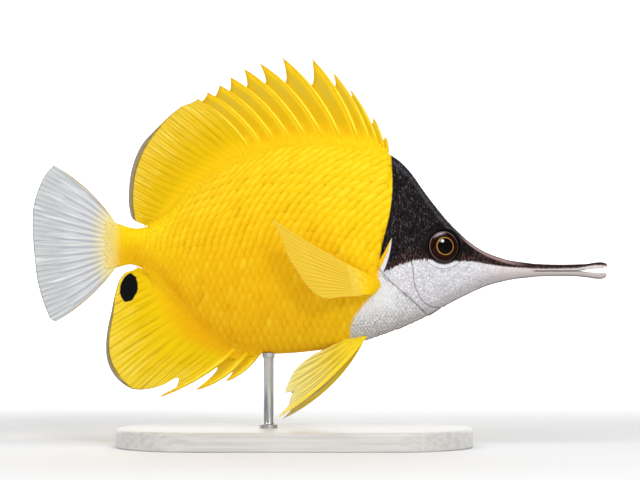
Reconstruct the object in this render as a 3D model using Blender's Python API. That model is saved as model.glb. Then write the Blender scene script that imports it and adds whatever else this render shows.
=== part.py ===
"""A life-size longnose butterflyfish as it swims, held up by a plain display stand.

Lengths are millimetres until a mesh is made. x runs forward to the snout, y to the fish's left and z
up from the floor. The body is one smooth form, parted with thin cuts into the pieces a person names.
"""

import math
from bisect import bisect_right

import bmesh
import bpy
from mathutils import Matrix, Vector

MM = 0.001
GAP = 0.3  # kept between pieces that touch
SEAM = 0.4  # kept behind the last spine of a fin
GILL_GAP = 0.2  # kept on either side of the gill line, along x
FAR = 200.0  # past the whole fish
SIDES = ((-1, "right"), (1, "left"))

# Places along the body
TAIL_ROOT_X = -63.6
STALK_X = -54.6
SNOUT_X = 51.4
MOUTH_X = 67.1
BODY_RINGS = 54
BODY_SIDES = 28

# The outline of the flesh: (x, z) along the back and along the belly
BACK_LINE = (
    (-63.6, 70.5), (-58.3, 68.9), (-52.7, 69.9), (-47.0, 73.2), (-40.4, 80.6), (-29.2, 89.2),
    (-17.9, 94.2), (-6.6, 96.4), (6.3, 95.8), (20.4, 92.9), (27.0, 87.8), (34.5, 77.7),
    (42.0, 68.7), (49.5, 62.5), (57.1, 59.2), (67.1, 57.5),
)
BELLY_LINE = (
    (-63.6, 55.9), (-59.6, 56.9), (-55.2, 55.5), (-48.9, 50.5), (-40.8, 40.8), (-33.2, 33.5),
    (-25.7, 29.9), (-17.6, 29.0), (-2.2, 29.8), (7.8, 31.4), (18.8, 34.6), (29.5, 39.0),
    (44.5, 46.9), (52.0, 50.3), (59.6, 52.3), (67.1, 53.25),
)
# (x, half the width at the widest height)
HALF_WIDTHS = (
    (-63.6, 1.9), (-58.3, 2.7), (-50.0, 4.0), (-37.6, 6.3), (-22.0, 8.5), (-6.3, 9.8),
    (9.4, 10.4), (20.4, 10.2), (29.8, 8.9), (38.9, 7.0), (47.0, 5.0), (53.3, 3.7),
    (59.6, 2.8), (67.1, 2.1),
)
# (x, where the section is widest, as a share of its height)
WIDEST_SHARES = (
    (-63.6, 0.50), (-40.0, 0.53), (-15.0, 0.53), (9.4, 0.46), (22.0, 0.40), (30.0, 0.38),
    (39.0, 0.46), (50.0, 0.50), (67.1, 0.50),
)
# How sharp the back and the belly are: 1 is an ellipse, more is a narrower edge
BACK_EDGES = ((-63.6, 1.2), (-40.0, 1.45), (20.0, 1.50), (32.0, 1.25), (42.0, 1.05), (67.1, 1.0))
BELLY_EDGES = ((-63.6, 1.2), (-40.0, 1.45), (-15.0, 1.20), (10.0, 1.10), (40.0, 1.10), (67.1, 1.0))

# The gill opening, as a side view of where the head ends, and the front of the gill cover
GILL_LINE = (
    (23.4, 105.0), (22.3, 91.2), (21.9, 80.6), (21.0, 70.5), (19.1, 61.8), (18.2, 56.1),
    (23.5, 50.6), (28.5, 46.3), (32.6, 42.6), (40.0, 33.0),
)
GILL_COVER = (
    (18.0, 60.5), (23.0, 60.2), (27.6, 58.6), (28.8, 55.5), (29.3, 51.7), (30.4, 48.3),
    (32.3, 45.4), (34.2, 43.6), (32.6, 41.4), (25.0, 44.0), (15.0, 56.0),
)
GILL_COVER_DEPTH = 2.0
GILL_COVER_FROM = 0.7  # how near the cover comes to the middle of the body
GILL_COVER_RAISE = 0.25

EYE_X, EYE_Z = 38.9, 62.9
EYE_RADIUS = 5.3
EYE_DEPTH = 3.4  # half the eyeball's thickness along its axis
EYE_STANDS_OUT = 1.6
EYE_TILT = 0.5  # share of the skin's upward lean that the eye follows
RIM_RADIUS, RIM_TUBE = 5.2, 0.5
NOSTRILS = ((45.4, 61.9, 0.50), (47.2, 61.0, 0.42))  # x, z, radius
NOSTRIL_SIDES = 8
# Rings of a nostril's pit, from outside the skin inwards: height and radius in nostril radii
NOSTRIL_RINGS = ((2.0, 1.15), (0.0, 1.0), (-1.3, 0.55))

# Jaws: (x, top z, bottom z, half width)
UPPER_JAW = (
    (67.4, 57.5, 55.35, 2.05), (72.1, 57.3, 55.35, 1.85), (76.0, 57.25, 55.35, 1.70),
    (80.6, 57.35, 55.5, 1.55), (83.7, 57.5, 55.75, 1.50), (86.3, 57.9, 56.0, 1.50),
    (88.3, 58.0, 56.2, 1.35), (89.5, 57.7, 56.4, 1.00), (90.1, 57.2, 56.7, 0.45),
)
LOWER_JAW = (
    (67.4, 55.05, 53.3, 2.05), (72.1, 55.05, 53.5, 1.85), (76.0, 55.05, 53.5, 1.70),
    (80.6, 54.95, 53.4, 1.55), (83.7, 54.8, 53.1, 1.50), (86.3, 54.6, 52.7, 1.50),
    (88.2, 54.5, 52.65, 1.35), (89.3, 54.45, 53.0, 1.00), (89.8, 54.35, 53.6, 0.45),
)
JAW_SIDES, JAW_CELLS = 14, 13
JAW_WIDEST = 0.08  # share of a jaw's height at which it is widest, where its inner face is flat

# Fin plates
SKIN_FIN = 0.26  # half the thickness of the bare fin membrane
TIP_GIRTH = 0.14
RAY_RIDGE = 0.16
RIDGE_FADES = 0.6  # share of a ridge's height that is gone at the ray's tip
SPINE_ROWS_HELD, SPINE_ROWS_FREE = 4, 3
SPINE_CELLS = 3
RAY_ROWS = 7

# Dorsal spines from front to back: base x, tip (x, z), half girth, bow,
# and the share of the spine's length at which the membrane in front of it ends
DORSAL_SPINES = (
    (21.2, (20.5, 97.2), 0.42, 0.3, 0.10), (19.9, (16.7, 103.1), 0.50, 0.5, 0.27),
    (18.1, (9.4, 112.0), 0.68, 1.0, 0.36), (15.6, (4.1, 117.2), 0.85, 1.4, 0.62),
    (12.0, (-2.6, 121.6), 0.95, 1.8, 0.63), (6.6, (-11.9, 121.9), 1.00, 2.1, 0.62),
    (0.9, (-19.0, 120.2), 0.95, 2.2, 0.69), (-4.4, (-24.0, 118.5), 0.90, 2.0, 0.73),
    (-9.4, (-28.3, 115.9), 0.85, 1.9, 0.79), (-14.1, (-31.8, 113.4), 0.80, 1.8, 0.86),
    (-18.2, (-35.5, 111.1), 0.75, 1.7, 0.90), (-21.9, (-39.0, 109.3), 0.70, 1.6, 0.92),
)
ANAL_SPINES = (
    (-20.0, (-29.4, 20.8), 0.95, 0.85, 0.10), (-23.6, (-38.8, 18.1), 1.15, 1.40, 0.32),
    (-27.6, (-50.0, 16.0), 1.25, 1.10, 0.25),
)
MEMBRANE_LEAVES = 0.95  # share of a spine's length at which the membrane behind it starts
MEMBRANE_HOLLOW = 0.19
DORSAL_SPINE_TAPER, ANAL_SPINE_TAPER = 0.75, 0.5

SOFT_ROOT, SOFT_ROOT_SHARE = 0.95, 0.16  # half the root's thickness, at most and of the body's
SOFT_ROOT_THINS = 2.2
SOFT_BOW = 1.2
SOFT_BOW_FROM = 0.33  # share across the fin at which the bow of the last spine is gone
ROOT_STEPS = 24
SOFT_DORSAL_RAYS = 20
SOFT_DORSAL_END_X = -52.9
SOFT_DORSAL_REACH = 0.97  # share of the last spine's length beside which the fin's front tip lies
SOFT_DORSAL_MARGIN = (
    (-40.6, 107.8), (-42.8, 107.1), (-45.8, 105.0), (-50.8, 100.3), (-55.8, 94.8),
    (-58.9, 87.5), (-59.9, 80.6), (-59.8, 75.2), (-58.6, 71.4), (-56.8, 70.3), (-54.6, 70.05),
)
SOFT_ANAL_RAYS = 17
SOFT_ANAL_END_X = -55.2
SOFT_ANAL_REACH = 0.80
SOFT_ANAL_MARGIN = (
    (-44.3, 21.5), (-49.8, 19.2), (-55.4, 18.0), (-59.1, 18.3), (-62.1, 20.1), (-65.0, 23.3),
    (-66.7, 27.3), (-67.1, 31.7), (-66.6, 36.9), (-65.4, 42.5), (-64.0, 48.9), (-62.6, 52.8),
    (-60.9, 54.7), (-58.8, 55.2), (-56.8, 54.9),
)
TAIL_RAYS = 17
TAIL_BOWS = (-1.6, 1.4)
TAIL_ROOT_SHARE, TAIL_ROOT_THINS = 0.45, 1.5  # share of a ray's length that the stalk thickens
TAIL_MARGIN = (
    (-83.4, 88.4), (-85.9, 85.6), (-88.1, 81.2), (-89.7, 75.9), (-90.1, 70.5), (-89.9, 64.9),
    (-89.3, 58.0), (-88.6, 52.4), (-87.2, 47.0), (-85.6, 42.6), (-84.2, 40.0), (-82.8, 39.3),
)
PECTORAL_RAYS = 13
PECTORAL_BOWS = (1.0, -0.6)
PECTORAL_LOBE, PECTORAL_LOBE_SHARE, PECTORAL_LOBE_THINS = 1.3, 0.42, 1.6  # its fleshy root
PECTORAL_SUNK, PECTORAL_FORWARD = 1.6, 1.0  # how far the root lies inside the flank and ahead
PECTORAL_STANDS_OFF = 0.25
PECTORAL_ROOT = ((17.4, 53.2), (18.0, 51.4), (16.9, 49.0), (15.4, 47.4))
PECTORAL_MARGIN = (
    (-14.6, 71.0), (-12.0, 65.1), (-10.2, 60.1), (-6.7, 54.5), (-3.0, 49.5), (-0.2, 47.4),
    (1.9, 46.8),
)
PECTORAL_FLARE = math.radians(20)
# Pelvic rays from the leading edge back: tip (x, z), bow, and the margin's (x, z) behind the ray
PELVIC_RAYS = (
    ((-14.6, 8.6), 3.0, (-11.8, 11.2)), ((-9.9, 13.4), 2.2, (-9.5, 14.7)),
    ((-9.0, 16.4), 1.7, (-8.2, 17.8)), ((-10.7, 17.4), 1.2, (-10.1, 20.0)),
    ((-8.4, 23.6), 0.6, (-5.6, 26.6)), ((-2.2, 29.2), 0.0, None),
)
PELVIC_ROOT = ((14.2, 34.0), (10.0, 34.8))
PELVIC_ROOT_Y = 2.6
PELVIC_ROOT_HALF = 0.9
PELVIC_LEADING, PELVIC_LEADING_SHARE = 0.35, 0.25  # more thickness, over this share of the fin
PELVIC_SPREAD = 1.0  # how much further out the hind rays' tips lie
# How far each pelvic fin is swung forward and out from the fin of the right side as drawn
PELVIC_SWING = {"right": (0.0, math.radians(11)), "left": (math.radians(5.5), math.radians(24))}

BASE_LENGTH, BASE_WIDTH, BASE_THICK = 112.0, 56.0, 6.0
BASE_X = -8.0
BASE_EDGE = 1.2
BASE_ARC = 16
ROD_X, ROD_RADIUS = -16.1, 1.6
ROD_SIDES = 20
ROD_SUNK = 4.0  # how far the rod is drawn into the belly before it is cut to its form

COLOURS = {  # colour, roughness, metallic
    "yellow": ((0.95, 0.62, 0.02), 0.45, 0.0),
    "fin_yellow": ((0.93, 0.64, 0.03), 0.50, 0.0),
    "black": ((0.03, 0.025, 0.025), 0.45, 0.0),
    "silver": ((0.72, 0.71, 0.72), 0.38, 0.0),
    "eye": ((0.05, 0.03, 0.02), 0.12, 0.0),
    "tail": ((0.74, 0.76, 0.77), 0.50, 0.0),
    "stand": ((0.62, 0.62, 0.60), 0.55, 0.0),
    "steel": ((0.60, 0.60, 0.60), 0.30, 1.0),
}


# Curves


def smooth(pairs):
    """A smooth function through (place, value) pairs that are in order of place."""
    places = [place for place, _ in pairs]
    values = [value for _, value in pairs]
    steps = [b - a for a, b in zip(places, places[1:])]
    rates = [(b - a) / step for a, b, step in zip(values, values[1:], steps)]
    slopes = [rates[0]]
    for i in range(1, len(steps)):
        slopes.append((steps[i] * rates[i - 1] + steps[i - 1] * rates[i]) / (steps[i - 1] + steps[i]))
    slopes.append(rates[-1])

    def value(at):
        at = min(max(at, places[0]), places[-1])
        i = min(bisect_right(places, at), len(steps)) - 1
        t = (at - places[i]) / steps[i]
        start, end = values[i], values[i + 1]
        rise_in, rise_out = slopes[i] * steps[i], slopes[i + 1] * steps[i]
        return (
            start
            + t * rise_in
            + t * t * (3 * (end - start) - 2 * rise_in - rise_out)
            + t**3 * (2 * (start - end) + rise_in + rise_out)
        )

    return value


def along(points):
    """A function that gives the point at a share, 0 to 1, of the length of a curve through points."""
    lengths = [0.0]
    for a, b in zip(points, points[1:]):
        lengths.append(lengths[-1] + math.dist(a, b))
    axes = [smooth(list(zip(lengths, axis))) for axis in zip(*points)]
    return lambda share: tuple(axis(share * lengths[-1]) for axis in axes)


def mix(a, b, share):
    """The point or number that lies a share of the way from a to b."""
    if isinstance(a, (int, float)):
        return a + (b - a) * share
    return tuple(m + (n - m) * share for m, n in zip(a, b))


def bowed(root, tip, bow, share):
    """A point on an arc from root to tip that swells to the left of its way by bow at its middle."""
    length = math.dist(root, tip)
    aside = (-(tip[1] - root[1]) / length, (tip[0] - root[0]) / length)
    swell = 4 * bow * share * (1 - share)
    x, z = mix(root, tip, share)
    return x + aside[0] * swell, z + aside[1] * swell


# The body's form

back = smooth(BACK_LINE)
belly = smooth(BELLY_LINE)
half_width = smooth(HALF_WIDTHS)
widest_share = smooth(WIDEST_SHARES)
back_edge = smooth(BACK_EDGES)
belly_edge = smooth(BELLY_EDGES)


def widest(x):
    return mix(belly(x), back(x), widest_share(x))


def section_point(x, turn, grow):
    """A point of the section at x. turn runs from the left flank at 0 up over the back."""
    up, out = math.sin(turn), math.cos(turn)
    edge = back_edge(x) if up > 0 else belly_edge(x)
    reach = (back(x) - widest(x) if up > 0 else widest(x) - belly(x)) + grow
    y = (half_width(x) + grow) * math.copysign(abs(out) ** edge, out)
    return x, y, widest(x) + reach * up


def flank(x, z):
    """How far the body's side lies from its middle at (x, z)."""
    upper = z > widest(x)
    reach = back(x) - widest(x) if upper else widest(x) - belly(x)
    up = min(1.0, abs(z - widest(x)) / reach)
    return half_width(x) * (1 - up * up) ** ((back_edge(x) if upper else belly_edge(x)) / 2)


def crest(x, y):
    """The height of the back at y beside its edge."""
    side = min(1.0, abs(y) / half_width(x))
    return widest(x) + (back(x) - widest(x)) * math.sqrt(1 - side ** (2 / back_edge(x)))


def keel(x, y):
    """The height of the belly at y beside its edge."""
    side = min(1.0, abs(y) / half_width(x))
    return widest(x) - (widest(x) - belly(x)) * math.sqrt(1 - side ** (2 / belly_edge(x)))


# Meshes


def material(name):
    colour, roughness, metallic = COLOURS[name]
    made = bpy.data.materials.get(name)
    if made is None:
        made = bpy.data.materials.new(name)
        made.use_nodes = True
        shader = made.node_tree.nodes["Principled BSDF"]
        shader.inputs["Base Color"].default_value = (*colour, 1.0)
        shader.inputs["Roughness"].default_value = roughness
        shader.inputs["Metallic"].default_value = metallic
    return made


def make_object(name, points, faces, paint="yellow"):
    """A mesh object from millimetre points, with its faces turned outwards."""
    mesh = bpy.data.meshes.new(name)
    mesh.from_pydata([Vector(p) * MM for p in points], [], faces)
    work = bmesh.new()
    work.from_mesh(mesh)
    bmesh.ops.recalc_face_normals(work, faces=work.faces)
    if work.calc_volume(signed=True) < 0:
        bmesh.ops.reverse_faces(work, faces=work.faces)
    work.to_mesh(mesh)
    work.free()
    mesh.materials.append(material(paint))
    made = bpy.data.objects.new(name, mesh)
    bpy.context.scene.collection.objects.link(made)
    return made


def loft(name, rings, paint="yellow"):
    """A closed skin over rings of equal count, with a flat end at each end ring."""
    sides = len(rings[0])
    points = [p for ring in rings for p in ring]
    faces = [tuple(range(sides)), tuple(range(len(points) - sides, len(points)))]
    for k in range(len(rings) - 1):
        for i in range(sides):
            j = (i + 1) % sides
            faces.append((k * sides + i, k * sides + j, (k + 1) * sides + j, (k + 1) * sides + i))
    return make_object(name, points, faces, paint)


def body_form(name, grow=0.0):
    """The whole body from the tail's root to the mouth, grown by a skin of that thickness."""
    first, last = TAIL_ROOT_X - max(grow, 0.0), MOUTH_X + max(grow, 0.0)
    rings = []
    for k in range(BODY_RINGS):
        x = mix(first, last, k / (BODY_RINGS - 1))
        rings.append([section_point(x, math.tau * i / BODY_SIDES, grow) for i in range(BODY_SIDES)])
    return loft(name, rings)


def prism(name, outline, y_low=-FAR, y_high=FAR):
    """A side-view outline drawn out along y."""
    rings = [[(x, y, z) for x, z in outline] for y in (y_low, y_high)]
    return loft(name, rings)


def applied(target):
    """Bakes the target's modifiers into its mesh."""
    bpy.context.view_layer.update()
    graph = bpy.context.evaluated_depsgraph_get()
    mesh = bpy.data.meshes.new_from_object(target.evaluated_get(graph))
    target.modifiers.clear()
    target.data = mesh
    return target


def remove(*objects):
    for used in objects:
        bpy.data.objects.remove(used)


def carve(target, tool, operation):
    """Cuts, joins or keeps what target shares with tool, and then removes the tool."""
    modifier = target.modifiers.new(operation, "BOOLEAN")
    modifier.operation = operation
    modifier.solver = "EXACT"
    modifier.object = tool
    applied(target)
    remove(tool)
    return keep_largest(target)


def fuse(target, pieces):
    """One union of the target with the pieces, which are then removed."""
    group = bpy.data.collections.new("pieces")
    for piece in pieces:
        group.objects.link(piece)
    modifier = target.modifiers.new("join", "BOOLEAN")
    modifier.operation = "UNION"
    modifier.solver = "EXACT"
    modifier.operand_type = "COLLECTION"
    modifier.collection = group
    applied(target)
    bpy.data.collections.remove(group)
    remove(*pieces)
    return keep_largest(target)


def keep_largest(target):
    """Drops every closed surface of the target but the one with the most volume."""
    work = bmesh.new()
    work.from_mesh(target.data)
    bmesh.ops.triangulate(work, faces=work.faces)
    left, shells = set(work.faces), []
    while left:
        shell, edge_faces = set(), [left.pop()]
        while edge_faces:
            face = edge_faces.pop()
            shell.add(face)
            near = {f for edge in face.edges for f in edge.link_faces} & left
            left -= near
            edge_faces.extend(near)
        shells.append(shell)

    def volume(shell):
        corners = [[v.co for v in face.verts] for face in shell]
        return sum(a.dot(b.cross(c)) for a, b, c in corners) / 6

    shells.sort(key=volume)
    spare = [face for shell in shells[:-1] for face in shell]
    bmesh.ops.delete(work, geom=spare, context="FACES")
    work.to_mesh(target.data)
    work.free()
    return target


def finish(target, name, paint):
    target.name = name
    target.data.materials.clear()
    target.data.materials.append(material(paint))
    target.data.shade_smooth()
    target.data.set_sharp_from_angle(angle=math.radians(40))
    return target


# The head, trunk and tail stalk


def shifted(outline, dx):
    return [(x + dx, z) for x, z in outline]


def head_region(dx):
    """The side view of the head: from the gill line, moved by dx, forward to the snout."""
    line = shifted(GILL_LINE, dx)
    return [*line, (SNOUT_X - GAP / 2, line[-1][1]), (SNOUT_X - GAP / 2, line[0][1])]


def trunk_region():
    line = shifted(GILL_LINE, -GILL_GAP)
    tail = STALK_X + GAP / 2
    return [(tail, FAR), (line[0][0], FAR), *line, (line[-1][0], -FAR), (tail, -FAR)]


def slab(low, high):
    """The side view of everything between two places along the body."""
    return [(low, -FAR), (high, -FAR), (high, FAR), (low, FAR)]


def eye_frame(side):
    """The place and turn of an eye: its centre lies on its axis, which is square to the skin."""
    reach = 1.5
    lean_x = (flank(EYE_X + reach, EYE_Z) - flank(EYE_X - reach, EYE_Z)) / (2 * reach)
    lean_z = (flank(EYE_X, EYE_Z + reach) - flank(EYE_X, EYE_Z - reach)) / (2 * reach)
    axis = Vector((-lean_x, side, -EYE_TILT * lean_z)).normalized()
    surface = Vector((EYE_X, side * flank(EYE_X, EYE_Z), EYE_Z))
    centre = surface + axis * (EYE_STANDS_OUT - EYE_DEPTH)
    return centre, axis


def eyeball(name, side, grow, segments=18, rings=10):
    centre, axis = eye_frame(side)
    work = bmesh.new()
    bmesh.ops.create_uvsphere(work, u_segments=segments, v_segments=rings, radius=1.0)
    size = Matrix.Diagonal((EYE_RADIUS + grow, EYE_RADIUS + grow, EYE_DEPTH + grow, 1.0))
    turn = axis.to_track_quat("Z", "Y").to_matrix().to_4x4()
    work.transform(Matrix.Translation(centre) @ turn @ size)
    points = [tuple(v.co) for v in work.verts]
    faces = [tuple(v.index for v in face.verts) for face in work.faces]
    work.free()
    return make_object(name, points, faces, "eye")


def eye_rim(side, segments=24, sides=6):
    """A low ring of skin round the eye, half sunk in the head."""
    centre, axis = eye_frame(side)
    turn = axis.to_track_quat("Z", "Y").to_matrix()
    points, faces = [], []
    for k in range(segments):
        around = math.tau * k / segments
        for i in range(sides):
            lift = math.tau * i / sides
            out = RIM_RADIUS + RIM_TUBE * math.cos(lift)
            local = Vector((out * math.cos(around), out * math.sin(around), RIM_TUBE * math.sin(lift)))
            spot = turn @ local + centre
            skin = flank(spot.x, spot.z) * side
            points.append((spot.x, skin + turn.col[2].y * RIM_TUBE * math.sin(lift), spot.z))
            j, m = (i + 1) % sides, (k + 1) % segments
            faces.append((k * sides + i, k * sides + j, m * sides + j, m * sides + i))
    return make_object("rim", points, faces)


def nostril(x, z, radius, side):
    """A short blind pit, pointing into the skin."""
    skin = flank(x, z)
    rings = []
    for height, share in NOSTRIL_RINGS:
        ring = []
        for i in range(NOSTRIL_SIDES):
            turn = math.tau * i / NOSTRIL_SIDES
            across, up = radius * share * math.cos(turn), radius * share * math.sin(turn)
            ring.append((x + across, side * (skin + radius * height), z + up))
        rings.append(ring)
    return loft("nostril", rings)


def widened(outline, distance):
    """A closed outline with each corner moved out along the mean of its two sides' normals."""
    area = sum(a[0] * b[1] - b[0] * a[1] for a, b in zip(outline, [*outline[1:], outline[0]]))
    moved = []
    for i, (x, z) in enumerate(outline):
        before, after = outline[i - 1], outline[(i + 1) % len(outline)]
        into = Vector((x - before[0], z - before[1])).normalized()
        onward = Vector((after[0] - x, after[1] - z)).normalized()
        normal = (into + onward).normalized()
        reach = distance / max(0.5, normal.dot(onward)) * (1 if area > 0 else -1)
        moved.append((x + normal.y * reach, z - normal.x * reach))
    return moved


def gill_prism(side, grow):
    """The gill cover's side view on one side of the fish, drawn out from its inner face."""
    low, high = sorted((side * (GILL_COVER_FROM - grow), side * FAR))
    return prism("gill", widened(GILL_COVER, grow), low, high)


def make_gill_cover(side, word):
    cover = body_form("gill_cover_" + word, GILL_COVER_RAISE)
    carve(cover, prism("head_part", head_region(GILL_GAP)), "INTERSECT")
    carve(cover, gill_prism(side, 0.0), "INTERSECT")
    carve(cover, body_form("inner", -GILL_COVER_DEPTH), "DIFFERENCE")
    return finish(cover, "gill_cover_" + word, "silver")


def make_head():
    head = body_form("head")
    carve(head, prism("head_part", head_region(GILL_GAP)), "INTERSECT")
    fuse(head, [eye_rim(side) for side in (-1, 1)])
    for side in (-1, 1):
        carve(head, eyeball("socket", side, GAP), "DIFFERENCE")
        pocket = gill_prism(side, GAP)
        carve(pocket, body_form("inner", -GILL_COVER_DEPTH - GAP), "DIFFERENCE")
        carve(head, pocket, "DIFFERENCE")
        for x, z, radius in NOSTRILS:
            carve(head, nostril(x, z, radius, side), "DIFFERENCE")
    return finish(head, "head", "silver")


def make_body():
    make_head()
    for side, word in SIDES:
        make_gill_cover(side, word)
        finish(eyeball("eye_" + word, side, 0.0), "eye_" + word, "eye")
    trunk = carve(body_form("trunk"), prism("part", trunk_region()), "INTERSECT")
    finish(trunk, "trunk", "yellow")
    stalk_side = prism("part", slab(-FAR, STALK_X - GAP / 2))
    finish(carve(body_form("tail_stalk"), stalk_side, "INTERSECT"), "tail_stalk", "yellow")
    snout_side = prism("part", slab(SNOUT_X + GAP / 2, FAR))
    finish(carve(body_form("snout"), snout_side, "INTERSECT"), "snout", "silver")


def make_jaw(name, table, side, paint):
    """A jaw: flat along the mouth line at its root, round towards its tip. side is 1 above it."""
    stations = along(table)
    rings = []
    for k in range(JAW_CELLS + 1):
        x, top, bottom, half = stations(k / JAW_CELLS)
        round_share = ((x - MOUTH_X) / (table[-1][0] - MOUTH_X)) ** 4
        inner, outer = (bottom, top) if side > 0 else (top, bottom)
        level = mix(inner, outer, mix(JAW_WIDEST, 0.5, round_share))
        ring = []
        for i in range(JAW_SIDES):
            turn = math.tau * i / JAW_SIDES
            up = math.sin(turn)
            reach = outer - level if up > 0 else level - inner
            ring.append((x, half * math.cos(turn), level + reach * up))
        rings.append(ring)
    return finish(loft(name, rings), name, paint)


# Fins


class Sheet:
    """A thin plate drawn in side view, closed round its edge. A point's half thickness is along y."""

    def __init__(self):
        self.points = []
        self.faces = []
        self.ridges = {}

    def add(self, x, z, half, y=0.0, ridge=None):
        """Adds a point. ridge is the height of the rim's middle there, over the edge of the body."""
        self.points.append((x, y, z, half))
        if ridge is not None:
            self.ridges[len(self.points) - 1] = (x, y, ridge)
        return len(self.points) - 1

    def strip(self, one, other):
        """Joins two columns of points."""
        for a, b, c, d in zip(one, other, other[1:], one[1:]):
            self.faces += [(a, b, c), (a, c, d)]

    def make(self, name, paint):
        count = len(self.points)
        points = [(x, y + half, z) for x, y, z, half in self.points]
        points += [(x, y - half, z) for x, y, z, half in self.points]
        middles = {}
        for index, place in self.ridges.items():
            middles[index] = len(points)
            points.append(place)
        faces = list(self.faces) + [(c + count, b + count, a + count) for a, b, c in self.faces]
        edges = {edge for a, b, c in self.faces for edge in ((a, b), (b, c), (c, a))}
        for a, b in edges:
            if (b, a) not in edges:
                faces += rim_faces(a, b, a + count, b + count, middles.get(a), middles.get(b))
        return make_object(name, points, faces, paint)


def rim_faces(a, b, below_a, below_b, middle_a, middle_b):
    """The faces of a plate's rim along the edge from a to b, over the rim's middle points if any."""
    if middle_a is None and middle_b is None:
        return [(b, a, below_a), (b, below_a, below_b)]
    if middle_b is None:
        return [(b, a, middle_a), (middle_a, below_a, below_b), (b, middle_a, below_b)]
    if middle_a is None:
        return [(b, a, middle_b), (middle_b, below_a, below_b), (a, below_a, middle_b)]
    upper = [(b, a, middle_a), (b, middle_a, middle_b)]
    return upper + [(middle_b, middle_a, below_a), (middle_b, below_a, below_b)]


class Spine:
    """A stiff fin spine: a tapered bowed rod that a membrane joins along part of its length."""

    def __init__(self, base, tip, girth, bow, held, edge, over):
        self.base, self.tip, self.girth, self.bow = base, tip, girth, bow
        self.held, self.edge, self.over = held, edge, over

    def girth_at(self, share):
        taper = DORSAL_SPINE_TAPER if self.over else ANAL_SPINE_TAPER
        return mix(TIP_GIRTH, self.girth, (1 - share) ** taper)

    def point(self, share, aside):
        """A point of the spine. aside is 1 at its front edge and -1 at its rear edge."""
        step = 0.01
        here = bowed(self.base, self.tip, self.bow, share)
        ahead = bowed(self.base, self.tip, self.bow, share + step)
        length = math.dist(here, ahead)
        turn = 1 if self.over else -1
        out = aside * self.girth_at(share) * turn / length
        return here[0] + (ahead[1] - here[1]) * out, here[1] - (ahead[0] - here[0]) * out

    def columns(self, sheet):
        """Adds the front edge, crest and rear edge of the spine and gives their points."""
        made = []
        for aside, half_share, rises_to in ((1, 0, self.held), (0, 1, None), (-1, 0, MEMBRANE_LEAVES)):
            joined = rises_to if rises_to is not None else (self.held + MEMBRANE_LEAVES) / 2
            column = []
            rows = SPINE_ROWS_HELD + SPINE_ROWS_FREE
            for row in range(rows + 1):
                if row <= SPINE_ROWS_HELD:
                    share = joined * row / SPINE_ROWS_HELD
                else:
                    share = mix(joined, 1.0, (row - SPINE_ROWS_HELD) / SPINE_ROWS_FREE)
                edge_half = min(SKIN_FIN, self.girth_at(share))
                half = mix(edge_half, self.girth_at(share), half_share)
                if row == 0:
                    x = self.base[0] + aside * self.girth
                    column.append(root_point(sheet, x, half, self.edge, self.over))
                else:
                    x, z = self.point(share, aside)
                    column.append(sheet.add(x, z, half))
            made.append(column)
        return made


def stood_off(edge, x, y, over):
    """The height a gap away, square to the surface, from the body's upper or lower edge."""
    step = 0.2
    lean_x = (edge(x + step, y) - edge(x - step, y)) / (2 * step)
    lean_y = (edge(x, y + step) - edge(x, y - step)) / (2 * step)
    gap = GAP * math.sqrt(1 + lean_x * lean_x + lean_y * lean_y)
    return edge(x, y) + (gap if over else -gap)


def root_point(sheet, x, half, edge, over):
    """A point of a fin's root, which follows the body's upper or lower edge at x."""
    height = stood_off(edge, x, half, over)
    return sheet.add(x, height, half, ridge=stood_off(edge, x, 0.0, over))


def hang_membrane(sheet, rear, front, edge, over):
    """Fills between the rear edge of one spine and the front edge of the next, with a hollow margin."""
    places = [[sheet.points[i] for i in column] for column in (rear, front)]
    (root_a, root_b), (tip_a, tip_b) = (
        [(column[row][0], column[row][2]) for column in places] for row in (0, -1)
    )
    length = math.dist(tip_a, tip_b)
    side = 1 if over else -1
    across = ((tip_b[0] - tip_a[0]) / length, (tip_b[1] - tip_a[1]) / length)
    corner = (
        tip_b[0] - side * across[1] * length * MEMBRANE_HOLLOW,
        tip_b[1] + side * across[0] * length * MEMBRANE_HOLLOW,
    )
    last = rear
    for cell in range(1, SPINE_CELLS):
        share = cell / SPINE_CELLS
        margin = mix(mix(tip_a, corner, share), mix(corner, tip_b, share), share)
        x = mix(root_a[0], root_b[0], share)
        column = [root_point(sheet, x, SKIN_FIN, edge, over)]
        root = (x, sheet.points[column[0]][2])
        for row in range(1, len(rear)):
            up = row / (len(rear) - 1)
            straight_a, straight_b = mix(root_a, tip_a, up), mix(root_b, tip_b, up)
            point = list(mix(root, margin, up))
            for axis, place in ((0, 0), (1, 2)):
                swell_a = places[0][row][place] - straight_a[axis]
                swell_b = places[1][row][place] - straight_b[axis]
                point[axis] += mix(swell_a, swell_b, share)
            column.append(sheet.add(*point, SKIN_FIN))
        sheet.strip(last, column)
        last = column
    sheet.strip(last, front)


def spines_of(table, edge, over):
    """The spines of a table, standing on the body's upper or lower edge."""
    spines = []
    for x, tip, girth, bow, held in table:
        base = (x, stood_off(edge, x, 0.0, over))
        spines.append(Spine(base, tip, girth, -bow if over else bow, held, edge, over))
    return spines


def spiny_fin(name, table, edge, over):
    """Spines with a notched membrane between them."""
    sheet = Sheet()
    columns = [spine.columns(sheet) for spine in spines_of(table, edge, over)]
    for front, crest_line, rear in columns:
        sheet.strip(front, crest_line)
        sheet.strip(crest_line, rear)
    for (_, _, rear), (front, _, _) in zip(columns, columns[1:]):
        hang_membrane(sheet, rear[: SPINE_ROWS_HELD + 1], front[: SPINE_ROWS_HELD + 1], edge, over)
    return finish(sheet.make(name, "fin_yellow"), name, "fin_yellow")


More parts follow.
